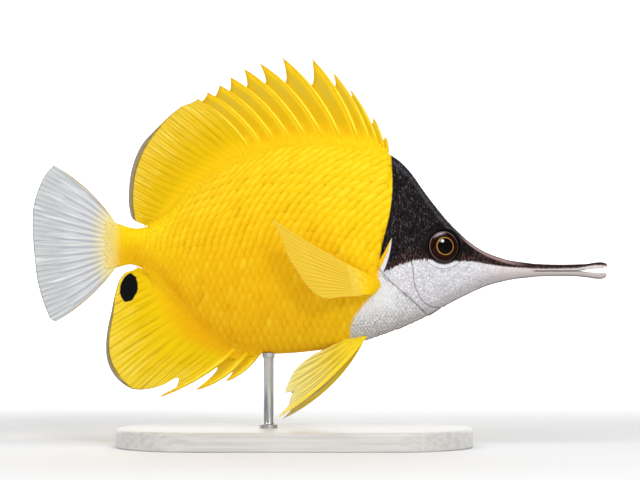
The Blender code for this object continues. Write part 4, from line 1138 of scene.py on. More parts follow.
def eye_look():
    look = Look("eye", coat_weight=0.14, coat_roughness=0.03, roughness=0.4, specular_ior_level=0.0)
    radius, turn = look.field("radius"), look.field("turn")
    fibres = look.node("ShaderNodeTexNoise", {"noise_dimensions": "2D"}, Scale=1.0, Detail=4.0)
    spot = look.node("ShaderNodeCombineXYZ")
    look.feed(spot.inputs[0], look.times(turn, 14.0))
    look.feed(spot.inputs[1], look.times(radius, 1.2))
    look.feed(fibres.inputs["Vector"], spot.outputs[0])
    grain = fibres.outputs["Fac"]
    iris = look.blend(look.spread(grain, 0.35, 0.7), "120403", "2c0f09")
    inner = look.blend(look.spread(radius, 3.5, 2.9), iris, "2d1008")
    # A painted highlight: a pale crescent over the top of the iris.
    pale = look.times(look.spread(look.field("toward"), 3.45, 4.25), look.spread(radius, 4.50, 4.20))
    pale = look.times(pale, look.spread(radius, 3.25, 3.75))
    pale = look.times(pale, look.spread(grain, 0.2, 0.6, 0.55, 0.95))
    inner = look.blend(pale, inner, "c9bac8")
    colour = look.blend(look.ring(radius, GOLD_RING, 0.20, 0.06), inner, "b9853a")
    colour = look.blend(look.times(look.ring(radius, OUTER_RING, 0.16, 0.05), 0.8), colour, "8f7468")
    colour = look.blend(look.spread(radius, 4.70, 4.80), colour, "0b0808")
    colour = look.blend(look.spread(radius, 2.48, 2.36), colour, "020202")
    # A painted catch light: a small pale spot on the upper rear of the pupil.
    colour = look.blend(look.spread(look.field("painted_catch_light"), 0.62, 0.30), colour, "eef2f8")
    look.colour(colour)
    look.bump(look.times(grain, look.spread(radius, 2.4, 2.9)), 0.12, 0.5)
    return look.material


def make_eyes(look):
    for side, word in SIDES:
        centre, across, up, out = eye_frame(side)
        rings, spokes = 72, 96
        lean = np.linspace(0.004, math.pi - 0.004, rings)[:, None]
        turn = (math.tau * np.arange(spokes) / spokes)[None, :]
        radius = EYE_RADIUS * np.sin(lean) * np.ones_like(turn)
        height = EYE_DEPTH * np.cos(lean) * np.ones_like(turn)
        front = lean < math.pi / 2
        dish = 0.16 * bell(radius - 4.28, 0.22) - 0.10 * bell(radius - 3.4, 0.7)
        dish += 0.05 * bell(radius - GOLD_RING, 0.22)
        height = height + np.where(front, dish, 0.0)
        points = (
            centre
            + (radius * np.cos(turn))[..., None] * across
            + (radius * np.sin(turn))[..., None] * up
            + height[..., None] * out
        )
        form = Form()
        toward = radius * (0.94 * np.sin(turn) - 0.34 * side * np.cos(turn))
        wander = 3 * np.sin(turn) + 2 * np.cos(turn) + 0 * radius
        # Distance from the painted catch light on the pupil.
        painted_catch_light = np.hypot(radius * np.cos(turn) + side * 0.85, radius * np.sin(turn) - 1.62)
        painted_catch_light = np.where(front, painted_catch_light, 9.0)
        seen = np.where(front, radius, 9.0)
        form.tube(points, {"radius": seen, "turn": wander, "toward": toward, "painted_catch_light": painted_catch_light})
        made = form.build("eyeball_" + word, look)
        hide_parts("eye_" + word)


# Fins


def edge_offset(x, rise, over):
    """Places at a distance out from the body's upper or lower edge, square to it."""
    edge = back if over else belly
    lean = (edge(x + 0.5) - edge(x - 0.5)) * (1.0 if over else -1.0)
    away = np.sqrt(1 + lean * lean)
    height = rise / away
    return x - lean * height, edge(x) + height * (1 if over else -1)


def sheath_half(x, z, rise):
    """Half thickness of the scaly sheath that leads from the body's edge to a fin."""
    fillet = 0.20 + 0.80 * np.exp(-rise / 2.4)
    cap = flank(x, z) + mix(-0.40, 0.05, ramp(SHEATH_FOOT, -1.4, rise)) + 2.0 * ramp(-1.6, -0.3, rise)
    return np.where(rise < 0, np.minimum(fillet, cap), fillet)


SHEATH_FOOT = -3.2  # how deep in the body a sheath starts
SHEATHS = {  # front x, rear x, upper?, greatest height, places where it has grown to it
    "dorsal": (21.5, -54.0, True, 4.6, (23.0, 8.0), (-54.5, -40.0)),
    "anal": (-18.6, -55.5, False, 4.4, (-17.5, -33.0), (-56.5, -45.0)),
}


def sheath_height(x, sheath):
    _, _, _, height, front, rear = sheath
    return height * ramp(front[0], front[1], x) * ramp(rear[0], rear[1], x) + 0.25


def valley_share(x, z, over):
    """How deep a place of a sheath lies in the hollows between spines, 0 to 1; the hollows are painted a
    darker gold as painted shade.
    """
    nearest = np.full(np.shape(x), 9.0)
    table = DORSAL_SPINES if over else ANAL_SPINES
    share = np.linspace(-0.1, 0.5, 24)
    for spine in spine_rows(table, over):
        for px, pz in zip(*spine_edge(spine, share, 0.0, over)):
            nearest = np.minimum(nearest, np.hypot(x - px, z - pz) - 0.5 * spine[2])
    rise = (z - back(x)) if over else (belly(x) - z)
    last = table[-1][0]
    among = ramp(last - 2.0, last + 1.0, x) * ramp(table[0][0] + 1.5, table[0][0] - 0.5, x)
    return ramp(0.15, 1.1, nearest) * ramp(0.8, 3.8, rise) * among


def crease_share(x, z):
    """The fine shadow where the rear of the back and anal fins leave the body's edge."""
    over = bell(z - back(x) - 1.15, 0.75) * ramp(-36.0, -46.0, x)
    under = bell(belly(x) - z - 1.15, 0.75) * ramp(-40.0, -50.0, x)
    return 0.34 * over + 0.30 * under


def sheath_spots(sheath, side):
    """Places of a sheath's scales, in rows along the body's edge, closer further out."""
    front, rear = sheath[:2]
    spots = []
    across, row = -2.4, 0
    while across < sheath[3]:
        step = mix(1.25, 0.8, float(ramp(-2.0, 2.0, across)))
        place = front - step * 0.5 * (row % 2)
        while place > rear:
            if across < sheath_height(place, sheath) - 0.3:
                spots.append((place, across, side))
            place -= step
        across += step * 0.55
        row += 1
    return np.array(spots)


def make_sheaths(body, skin_look, scale_look):
    """Smooth scaly sheaths at the roots of the back and anal fins, laid with fine scales."""
    form = Form()
    coat = Coat(*SMALL_SCALE)
    for name, sheath in SHEATHS.items():
        front, rear, over = sheath[:3]
        x0 = np.linspace(front, rear, 130)[:, None]
        share = np.linspace(0, 1, 24)[None, :]
        rise = mix(SHEATH_FOOT, sheath_height(x0, sheath), share)
        x, z = edge_offset(x0 + 0 * rise, rise, over)
        half = sheath_half(x, z, rise) * ramp(1.04, 0.62, share) + 0.03
        fields = skin_fields(x, z)
        # Painted shade: darker gold in the hollows between the spines.
        fields["yellow"] = tinged(fields["yellow"], VALLEY_SHADE_GOLD, valley_share(x, z, over))
        fields["yellow"] = tinged(fields["yellow"], CREASE, crease_share(x, z))
        fields["groove"] = fields["mouth"] = np.full_like(x, 9.0)
        fields["shade"] = np.zeros_like(x)
        form.plate(x, 0 * x, z, half, fields)
        for side, word in SIDES:
            spots = sheath_spots(sheath, side)
            size = mix(1.25, 0.8, ramp(-2.0, 2.0, spots[:, 1]))
            shape = joined(0.62 * size, 0.8 * size, 0.62 * size)

            def surface(x, arc, side, height, over=over):
                px, pz = edge_offset(x, arc, over)
                return joined(px, side * (sheath_half(px, pz, arc) + height), pz)

            edge, past = body.arc_limits(spots[:, 0])[0 if over else 1], 0.8 * (spots[:, 1] + 2.6)
            coat.lay(f"scales_{name}_{word}", scale_look, surface, spots, shape, 0.055, 0.04, 41 + side,
                     "fin_membrane", 0.22, valley=lambda x, z, over=over: valley_share(x, z, over),
                     uv_arc=edge + past if over else edge - past)
    made = form.build("fin_sheaths", skin_look)


def fin_look(name, dark, ray):
    """Fin membrane with rays: fields give the ray, the margin and the colours."""
    look = Look(name, coat_weight=0.02, coat_roughness=0.25, specular_ior_level=0.05)
    colour = look.field("tint", True)
    fine = look.noise(0.35, 3.0)
    colour = look.blend(look.spread(fine, 0.35, 0.7, 0.0, 0.16), colour, dark)
    height = look.field("ray")
    colour = look.blend(look.times(height, look.spread(fine, 0.3, 0.7, 0.45, 0.85)), colour, ray)
    colour = look.blend(look.spread(look.field("line"), 0.0, 1.0), colour, MARGIN_LINE)
    colour = look.blend(look.spread(look.field("spot"), -0.18, 0.12), colour, SPOT_BLACK)
    look.colour(colour)
    look.rough(look.spread(fine, 0.3, 0.7, FIN_ROUGH, FIN_ROUGH + 0.1))
    look.bump(look.plus(fine, height), 0.05, 0.5)
    return look.material


def fin_fields(tint, ray=0.0, line=0.0, spot=-9.0):
    """What the fins' material reads: colour, height of the rays, margin line and dark spot."""
    zero = np.zeros(tint.shape[:-1])
    return {"tint": tint, "ray": zero + ray, "line": zero + line, "spot": zero + spot}


def ray_pattern(across, share, rays, split=(0.35, 0.72), width=0.17):
    """Height of the nearest branched ray, 0 to 1, over the grid of shares."""
    place = across * (rays - 1)
    off = np.abs(place - np.round(place))
    first = 0.25 * ramp(split[0], split[0] + 0.35, share)
    off = np.abs(off - first)
    second = 0.125 * ramp(split[1], 1.0, share)
    off = np.abs(off - second)
    wide = width * (1 - 0.45 * ramp(split[0], 1.0, share))
    return bell(off, wide)


def streaks(across, share, count, seed, knots=6):
    """Smooth random lines that run along the rays, 0 to 1, about count of them side by side."""
    table = np.random.default_rng(seed).random((count + 2, knots + 1))
    a, s = np.clip(across, 0, 1) * count, np.clip(share, 0, 1) * (knots - 0.001)
    a0, s0 = np.floor(a).astype(int), np.floor(s).astype(int)
    fa, fs = ramp(0, 1, a - a0), s - s0
    first = mix(table[a0, s0], table[a0 + 1, s0], fa)
    second = mix(table[a0, s0 + 1], table[a0 + 1, s0 + 1], fa)
    return mix(first, second, fs)


def edge_point(x, over, up=0.0):
    """A point of the body's upper or lower edge, raised off it by up."""
    return joined(x, (back(x) + up) if over else (belly(x) - up))


def spine_rows(table, over):
    """Each spine of a table: base, tip, half girth, bow and the share that the membrane holds."""
    for x, tip, girth, bow, held in table:
        base = edge_point(np.array(x), over, 0.3)
        yield base, np.array(tip), girth, (-bow if over else bow), held


def spine_girth(spine, share, over):
    taper = DORSAL_TAPER if over else ANAL_TAPER
    return mix(TIP_GIRTH * 1.3, spine[2], np.clip(1 - share, 0, 1) ** taper)


def spine_edge(spine, share, aside, over):
    """Points beside a spine's middle line, aside in half girths, positive at its front edge."""
    base, tip, _, bow, _ = spine
    x, z = bowed(base, tip, bow, share)
    x2, z2 = bowed(base, tip, bow, share + 0.01)
    length = np.hypot(x2 - x, z2 - z)
    wide = spine_girth(spine, share, over) * aside * (1 if over else -1)
    return x + (z2 - z) * wide / length, z - (x2 - x) * wide / length


def web(a, b, margin, across, risen):
    """A coordinate of the membrane between the edges a and b of two spines, up to its margin."""
    straight = mix(mix(a[0], b[0], across), margin, risen)
    return straight + mix(a - mix(a[0], a[-1], risen), b - mix(b[0], b[-1], risen), across)


def add_spine(form, spine, length, over):
    """A round spine, orange along its front edge and tip, with a painted highlight along its middle."""
    share = np.concatenate([[-SPINE_SUNK / length], np.linspace(0, 1, SPINE_ROWS)])
    turn = math.tau * np.arange(12) / 12
    girth = spine_girth(spine, share, over)
    rings = []
    for t in turn:
        x, z = spine_edge(spine, share, 0.80 * math.cos(t) + 0.20, over)
        rings.append(joined(x, girth * math.sin(t) + 0 * x, z))
    front = np.cos(turn)[None, :] * np.ones((len(share), 1))
    tip_share = ramp(0.45, 1.0, share)[:, None]
    rim = ramp(0.55, 1.0, front) * (0.45 + 0.50 * tip_share) + 0.55 * tip_share**3
    # A painted highlight: a pale stripe down the middle of each side of the spine.
    glow = bell(front, 0.62) * (1 - 0.6 * tip_share) * ramp(0.02, 0.22, share)[:, None]
    tint = tinged(linear("f8cc0c"), "fff045", glow)
    tint = tinged(tint, "e39812", np.clip(rim, 0, 0.9))
    tint = tinged(tint, FIN_OCHRE, np.clip(-front, 0, 1) ** 2 * 0.7)
    form.tube(np.stack(rings, 1), fin_fields(tint))


def add_web(form, spine, other, length, over):
    """The thin membrane from one spine to the next, hollow at its margin and folded lengthwise, painted
    darker gold towards the next spine as painted shade and lighter and darker along its folds.
    """
    sunk = -SPINE_SUNK / length
    rise = np.concatenate([[sunk], np.linspace(0, 1, SPINE_ROWS)])
    ax, az = spine_edge(spine, rise * MEMBRANE_LEAVES, -0.5, over)
    bx, bz = spine_edge(other, rise * other[4], 0.5, over)
    tip_a, tip_b = np.array([ax[-1], az[-1]]), np.array([bx[-1], bz[-1]])
    way = tip_b - tip_a
    turn = 1 if over else -1
    corner = tip_b + turn * np.array([-way[1], way[0]]) * MEMBRANE_HOLLOW
    c = np.linspace(0, 1, WEB_COLUMNS)[:, None]
    margin = mix(mix(tip_a, corner, c), mix(corner, tip_b, c), c)
    x = web(ax, bx, margin[:, :1], c, (rise - sunk) / (1 - sunk))
    z = web(az, bz, margin[:, 1:], c, (rise - sunk) / (1 - sunk))
    folds = np.sin(c * math.pi * 12 + 1.3 * np.sin(3 * c * math.pi)) * np.ones_like(x)
    hollow = ramp(0.0, 0.40, c) * np.ones_like(x)
    half = 0.12 + 0.015 * folds + 0.28 * (1 - hollow) * np.clip(1 - rise, 0, 1)[None, :]
    half = half + 0.40 * np.clip(1 - rise * 2.6, 0, 1)[None, :] ** 1.5
    rise = rise[None, :] * np.ones_like(x)
    # Painted shade: darker gold away from the spine in front, and painted light and shade along the folds.
    dark = (0.85 * ramp(0.02, 0.35, c) + 0.07 * folds) * ramp(0.06, 0.30, rise)
    tint = tinged(linear(FIN_YELLOW), "d9ab00", np.clip(dark, 0, 1))
    tint = tinged(tint, "cbb138", 0.70 * bell(c - 0.42, 0.26) * bell(rise - 0.78, 0.22))
    tint = tinged(tint, "a87703", 0.60 * ramp(0.88, 1.0, c) * ramp(0.15, 0.35, rise))
    tint = tinged(tint, "b8870f", 0.45 * ramp(0.93, 1.0, rise))
    # Fold crests take the paler ray colour: a painted highlight.
    form.plate(x, 0 * x, z, half, fin_fields(tint, 0.06 * np.clip(folds, 0, 1)))


def make_spiny_fin(name, table, over, look):
    form = Form()
    spines = list(spine_rows(table, over))
    lengths = [np.linalg.norm(spine[1] - spine[0]) for spine in spines]
    for spine, length in zip(spines, lengths):
        add_spine(form, spine, length, over)
    for spine, other, length in zip(spines, spines[1:], lengths):
        add_web(form, spine, other, length, over)
    made = form.build(name, look)
    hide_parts(name)


def soft_fin_tint(x, z, across, share, rays, over, fine_ridge, grey):
    """The body's yellow at the root, olive between the rays as painted shade in the hollows there, olive
    threads, and a grey outer strip.
    """
    place = across * (rays - 1)
    between = bell(place - np.floor(place) - 0.5, 0.13)
    coarse, thread = streaks(across, share, 3 * rays, 61), streaks(across, share, 8 * rays, 62, 4)
    # Olive between the rays is painted shade in the hollows between them; the olive threads run at random.
    olive = 0.60 * between * mix(0.3, 1.0, coarse) + 0.45 * ramp(0.50, 0.90, thread)
    flesh = yellow_at(x, z)
    tint = linear("e7bc03" if over else "f2cc04") + 0 * flesh
    tint = tinged(tint, "c79f00", olive * ramp(0.10, 0.4, share))
    tint = mix(tint, flesh, ramp(0.30, 0.05, share)[..., None])
    pale = 0.46 * ramp(0.50, 0.90, streaks(across, share, 8 * rays, 63, 5)) * ramp(0.25, 0.90, share)
    pale += 0.30 * fine_ridge * ramp(0.45, 0.95, share)
    tint = tinged(tint, "fbe768", pale * (1 - 0.6 * between))
    tint = tinged(tint, CREASE, crease_share(x, z))
    return tinged(tint, MARGIN_GREY, grey)


def anal_spot(x, z, across, share, rays):
    """Distance into the dark spot of the anal fin, less than 0 outside it."""
    spot_x, spot_z = ANAL_SPOT
    dx = (x - spot_x) - SPOT_LEAN * (z - spot_z)
    spot = 1 - np.sqrt((dx / SPOT_HALF[0]) ** 2 + ((z - spot_z) / SPOT_HALF[1]) ** 2)
    return spot * SPOT_HALF[0] + 0.30 * (streaks(across, share, 3 * rays, 64, 12) - 0.5)


def make_soft_fin(name, table, end_x, margin, rays, reach, over, look):
    """The soft-rayed rear part of a fin, with a grey outer margin and a fine dark line inside it."""
    last = list(spine_rows(table, over))[-1]
    front_tip = joined(*spine_edge(last, np.array(reach), 0.0, over))
    across = np.linspace(0, 1, (rays - 1) * SOFT_STEPS + 1)[:, None]
    share = np.concatenate([[-0.04], np.linspace(0, 1, SOFT_ROWS)])[None, :]
    roots_x = mix(last[0][0] - 0.2 * last[2], end_x, across)
    roots = edge_point(roots_x, over, 0.0)
    tips = along([tuple(front_tip), *margin])(across)
    front_bow, rear_bow = last[3] * reach * reach, 1.2 if over else -1.2
    bows = mix(front_bow, rear_bow, np.clip(across / 0.33, 0, 1)) * (1 - across)
    x, z = bowed(roots, tips, bows, share)
    root_half = np.minimum(0.95, 0.16 * half_width(roots_x))
    ridge, fine_ridge = (ray_pattern(across, share, rays, width=width) for width in (0.24, 0.15))
    half = mix(0.10, root_half, np.clip(1 - share, 0, 1) ** 2.6)
    half = half + 0.10 * ridge * mix(0.35, 1.0, ramp(1.0, 0.93, share))
    to_edge = (1 - share) * np.linalg.norm(tips - roots, axis=-1)
    # The grey strip is widest half way down the rear edge
    width, *span = DORSAL_STRIP if over else ANAL_STRIP
    strip = width * ramp(span[0], span[1], across) * ramp(span[2], span[3], across) + 0.06
    uneven = strip + 0.30 * (ridge - 0.5) * ramp(0.1, 0.4, strip)
    grey = ramp(0.15, -0.15, to_edge - uneven)
    line = bell(to_edge - uneven, 0.24) * ramp(0.05, 0.3, across) * 0.75
    tint = soft_fin_tint(x, z, across, share, rays, over, fine_ridge, grey)
    ray_shown = fine_ridge * mix(0.02, 0.12, ramp(0.45, 0.95, share))
    ray_shown = ray_shown * ramp(0.10, 0.4, share) * mix(1.0, 0.25, grey)
    spot = -9.0 if over else anal_spot(x, z, across, share, rays)
    form = Form()
    form.plate(x, 0 * x, z, half, fin_fields(tint, ray_shown, line, spot))
    made = form.build(name, look)
    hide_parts(name)


TAIL_MIDDLE = (back(TAIL_ROOT_X) + belly(TAIL_ROOT_X)) / 2


def tail_root_half(x, z):
    """How far the scaly root of the tail fin swells from its middle plane."""
    past = np.maximum(TAIL_ROOT_X + 1.0 - x, 0)
    off = (z - TAIL_MIDDLE) / (7.6 + 0.62 * past)
    return 1.75 * np.exp(-past / 3.6) * np.sqrt(np.clip(1 - off * off, 0, 1))


def tail_surface(x, arc, side, height):
    proud = mix(-0.20, 0.27, ramp(-62.4, -64.6, x))
    return joined(x, side * (tail_root_half(x, arc) + proud + height), arc)


def make_tail_scales(look):
    """Fine scales that run from the tail stalk out over the root of the tail fin."""
    coat = Coat(*SMALL_SCALE)
    for side, word in SIDES:
        spots = []
        for row in range(10):
            x = -63.0 - 0.50 * row
            reach = 6.1 + 0.55 * (TAIL_ROOT_X - x) - 0.12 * row
            for z in np.arange(-reach, reach, 0.80):
                spots.append((x + 0.010 * z * z, TAIL_MIDDLE + z + 0.40 * (row % 2), side))
        spots = np.array(spots)
        draw = np.random.default_rng(75 + side)
        spots[:, :2] += 0.06 * draw.standard_normal((len(spots), 2))
        spots = spots[draw.random(len(spots)) > 0.9 * ramp(-66.0, -68.5, spots[:, 0])]
        size = mix(1.0, 0.72, ramp(-62.0, -69.0, spots[:, 0]))
        shape = joined(0.55 * size, 0.80 * size, 0.56 * size)
        coat.lay(f"scales_tail_{word}", look, tail_surface, spots, shape, 0.10, 0.05, 51 + side,
                 "tail_membrane", 0.4, uv_arc=spots[:, 1] - TAIL_MIDDLE)


def make_tail_fin(look):
    rays, per_ray, rows = 17, 16, 60
    columns = (rays - 1) * per_ray + 1
    across = np.linspace(0, 1, columns)[:, None]
    share = np.linspace(-0.02, 1, rows)[None, :]
    top, bottom = back(TAIL_ROOT_X) - 0.4, belly(TAIL_ROOT_X) + 0.4
    roots = joined(np.full_like(across, TAIL_ROOT_X - 0.3), mix(top, bottom, across))
    tips = along(TAIL_MARGIN)(across)
    x, z = bowed(roots, tips, mix(-1.6, 1.4, across), share)
    ridge = ray_pattern(across, share, rays, (0.22, 0.55), 0.2)
    half = tail_root_half(x, z) + 0.10 + 0.16 * ridge * ramp(1.08, 0.9, share) * ramp(0.05, 0.2, share)
    place = across * (rays - 1)
    wedge = ramp(0.16, 0.38, np.abs(place - np.round(place)))
    wedge = wedge * ramp(0.10, 0.30, share) * ramp(0.85, 0.60, share)
    thread = streaks(across, share, 84, 71, 4)
    fine = np.abs(np.sin(math.pi * place * 2.0)) * ramp(0.55, 0.80, share)
    tint = tinged(linear("cfd1d1") + np.zeros(x.shape + (3,)), TAIL_CREAM, ramp(0.40, 0.10, share))
    tint = tinged(tint, "adacba", wedge * mix(0.55, 0.95, thread))
    tint = tinged(tint, "878a8f", 0.95 * fine * mix(0.4, 1.0, thread))
    tint = tinged(tint, "f6f8fa", 0.6 * ramp(0.6, 0.9, thread) * ramp(0.3, 0.7, share))
    length = np.linalg.norm(tips - roots, axis=-1)
    aside = np.minimum(across, 1 - across) * (mix(14.0, 49.0, share))
    rim = ramp(0.85, 0.20, aside) * ramp(0.0, 0.25, share) * ramp(1.0, 0.75, share)
    tint = tinged(tint, "a98f36", 0.80 * rim)
    ridge = ridge * ramp(0.05, 0.2, share)
    line = 0.50 * ramp(0.60, 0.10, (1 - share) * length)
    form = Form()
    form.plate(x, 0 * x, z, half, fin_fields(tint, 0.45 * ridge, line))
    made = form.build("tail_fin", look)
    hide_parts("tail_fin")


def pectoral_place(share, across, side):
    roots, tips = along(PECTORAL_ROOT)(across), along(PECTORAL_MARGIN)(across)
    x, z = bowed(roots, tips, mix(1.0, -0.6, across), share)
    root_x = PECTORAL_ROOT[0][0]
    skin = float(flank(np.array(root_x), np.array(50.3)))
    away = (root_x - x) * math.tan(PECTORAL_FLARE)
    y = skin + 0.25 + away - 1.6 * ramp(0.06, -0.04, share)
    return x, side * y, z


def add_pectoral_rays(form, side):
    """Rays that part in two on their way out, apart from the first and the last."""
    turn = math.tau * np.arange(8) / 8
    gaps = PECTORAL_RAYS - 1
    share = np.linspace(0.02, 0.995, 46)
    first, _, first_z = pectoral_place(share[:, None], np.zeros((46, 1)), side)
    last, _, last_z = pectoral_place(share[:, None], np.ones((46, 1)), side)
    spacing = np.hypot(last - first, last_z - first_z) / gaps
    tint = tinged(linear("f8cc12"), "f0ca44", ramp(0.10, 0.40, share)[:, None]) * np.ones((46, 8, 3))
    for k in range(PECTORAL_RAYS):
        wide = np.minimum(0.30, 0.35 * spacing) * (1.25 if k == 0 else 1.0)
        for sign, parts in ((-1, 0.42), (1, 0.42)) if 0 < k < gaps else ((0, 0.5),):
            across = k / gaps + sign * mix(0.05, 0.24, ramp(parts, 1.0, share)) / gaps
            x, y, z = pectoral_place(share[:, None], across[:, None], side)
            rings = joined(x + 0 * turn, y + 0.12 * np.sin(turn), z + wide * np.cos(turn))
            form.tube(rings, fin_fields(tint))


def add_pectoral_lobe(form, side):
    """The fleshy lobe at the root, with a painted shadow along its lower edge."""
    across = np.linspace(-0.02, 1.02, 70)[:, None]
    share = np.linspace(-0.03, 0.36, 44)[None, :]
    x, y, z = pectoral_place(share, np.clip(across, 0, 1), side)
    pattern = ray_pattern(np.clip(across, 0, 1), share, PECTORAL_RAYS, (2.0, 3.0), 0.22)
    round_edge = np.clip(1 - np.abs(across * 2 - 1) ** 6, 0, 1) ** 0.5
    half = mix(0.02, 1.65, np.clip(1 - share / 0.36, 0, 1) ** 1.8) * round_edge
    half = np.maximum(half + 0.06 * pattern * ramp(0.05, 0.2, share), 0.02)
    tint = tinged(linear("fbc90a"), "f2ca40", ramp(0.1, 0.30, share)) * np.ones(x.shape + (3,))
    grains = streaks(across, share / 0.3, 44, 81, 16)
    fan = bell(share - 0.19, 0.07)
    tint = tinged(tint, "ffee58", 0.65 * ramp(0.3, 0.8, grains) * fan)
    # A painted shadow along the lobe's lower edge near the root.
    tint = tinged(tint, "b57c04", 0.7 * ramp(0.86, 1.0, across) * ramp(0.26, 0.10, share))
    tint = tinged(tint, "d99c06", 0.22 * ramp(0.6, 0.1, grains) * fan)
    form.plate(x, y, z, half, fin_fields(tint, 0.3 * pattern * ramp(0.1, 0.3, share)))


def make_pectoral_fin(side, word, ray_look, membrane_look):
    """A fleshy lobe that spreads into branched rays, with a thin clear membrane between them."""
    form = Form()
    add_pectoral_rays(form, side)
    add_pectoral_lobe(form, side)
    made = form.build("pectoral_rays_" + word, ray_look)
    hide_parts("pectoral_fin_" + word)
    x, y, z = pectoral_place(np.linspace(0.05, 0.985, 50)[None, :], np.linspace(0, 1, 90)[:, None], side)
    form = Form()
    tint = np.ones(x.shape + (3,)) * linear("f8cc30")
    form.plate(x, y, z, 0.085 + 0 * x, fin_fields(tint))
    made = form.build("pectoral_membrane_" + word, membrane_look)


def make_pelvic_fin(side, word, look):
    front, rear = np.array(PELVIC_ROOT)
    forward, splay = PELVIC_SWING[word]
    shorter = math.cos(splay) / math.cos(PELVIC_SWING["right"][1])
    lines = []
    total = len(PELVIC_RAYS)
    for k, (tip, bow, behind) in enumerate(PELVIC_RAYS):
        lines.append((k, (*mix(front, rear, k / (total - 1)), *tip, bow, 1.0)))
        if behind:
            lines.append((k + 0.5, (*mix(front, rear, (k + 0.5) / (total - 1)), *behind, bow, 0.0)))
    table = smooth([(place, *values) for place, values in lines])
    places = np.linspace(0, total - 1, 150)
    data = table(places)
    data[:, 4] *= 0.64 if side < 0 else 1.12
    share = np.linspace(-0.03, 1, 60)[None, :]
    roots, tips, bows = data[:, None, 0:2], data[:, None, 2:4], data[:, None, 4]
    x, z = bowed(roots, tips, bows, share)
    dx, dz = x - front[0], z - front[1]
    x = front[0] + dx * math.cos(forward) - dz * math.sin(forward)
    z = front[1] + dx * math.sin(forward) + dz * math.cos(forward)
    across = (places / (total - 1))[:, None]
    down = (front[1] - z) * shorter
    y = side * (PELVIC_ROOT_Y + down * math.tan(splay) + across * share)
    ridge = ray_pattern(across, share, total, (0.3, 0.6), 0.16)
    leading = ramp(0.20, 0.10, across) * np.ones_like(x)
    half = mix(0.11, 0.85, np.clip(1 - share, 0, 1) ** 2.2) + 0.14 * ridge
    half = (half + 0.32 * leading * (1 - 0.8 * share)) * ramp(1.04, 0.9, share) + 0.05
    outward = ramp(0.3, 0.9, share)
    pale = tinged(linear("fbda20"), "f7e780", outward) * np.ones(x.shape + (3,))
    grey = tinged(linear("c9ac2c"), "b9ab66", outward)
    between = (1 - ridge) * ramp(0.1, 0.4, share) * (1 - leading)
    tint = mix(pale, grey, (0.78 * between)[..., None])
    tint = tinged(tint, "ffe11c", leading * 0.85)
    tint = tinged(tint, "fbf1b4", ramp(0.05, 0.01, across) * ramp(0.0, 0.3, share) * 0.8)
    tint = tinged(tint, "f4eccb", ramp(0.86, 1.0, share) * 0.35 * np.ones_like(x))
    # The far fin, on the left, is painted duller and darker: painted shade.
    if side > 0:
        tint = tint * np.array([0.86, 0.84, 1.0])
    form = Form()
    form.plate(x, y, front[1] - down, half, fin_fields(tint, 0.35 * ridge))
    made = form.build("pelvic_fin_" + word, look)
    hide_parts("pelvic_fin_" + word)


# Stand


def streak(look, grain, start, first, second, roughs, bump):
    """Colours, roughness and a slight relief that follow a drawn-out grain."""
    look.colour(look.blend(look.spread(grain, start, 0.7), first, second))
    look.rough(look.spread(grain, 0.3, 0.7, *roughs))
    look.bump(grain, *bump)


def make_base():
    look = Look("stand_lacquer", coat_weight=0.25, coat_roughness=0.2)
    streak(look, look.noise(1.2, 5.0, (26.0, 1.0, 1.0)), 0.35, "dcdad6", "cbc8c3", (0.34, 0.46), (0.05, 0.35))
    radius, straight = BASE_WIDTH / 2, BASE_LENGTH / 2 - BASE_WIDTH / 2
    profile = [(0.5, 0.0), (0.0, 0.5)]
    for k in range(9):
        turn = math.pi / 2 * k / 8
        profile.append((BASE_ROUND * (1 - math.cos(turn)), BASE_THICK - BASE_ROUND * (1 - math.sin(turn))))
    rings = []
    for inset, z in profile:
        ring = []
        for end in (1, -1):
            for turn in np.linspace(-math.pi / 2, math.pi / 2, 49):
                x = BASE_X + end * (straight + (radius - inset) * math.cos(turn))
                ring.append((x, end * (radius - inset) * math.sin(turn), z))
        rings.append(ring)
    form = Form()
    form.tube(np.array(rings), {})
    made = form.build("stand_base_plate", look.material)
    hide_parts("stand_base")
    made.data.set_sharp_from_angle(angle=math.radians(35))


def make_rod():
    look = Look("stand_steel", metallic=1.0)
    streak(look, look.noise(0.25, 3.0, (1.0, 1.0, 40.0)), 0.3, "b9babc", "d3d4d6", (0.22, 0.36), (0.02, 0.4))
    top = float(belly(ROD_X))
    profile = [
        (2.9, 5.8), (2.9, 6.9), (2.7, 7.15), (1.9, 7.3), (1.75, 7.5), (ROD_RADIUS, 7.8),
        (ROD_RADIUS, top - 1.2), (1.75, top - 0.9), (2.0, top - 0.6), (2.0, top + 0.6),
    ]
    turn = math.tau * np.arange(48) / 48
    rings = [joined(ROD_X + r * np.cos(turn), r * np.sin(turn), z + 0 * turn) for r, z in profile]
    form = Form()
    form.tube(np.array(rings), {})
    made = form.build("stand_rod_steel", look.material)
    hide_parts("stand_rod")
    made.data.set_sharp_from_angle(angle=math.radians(35))


# Stage


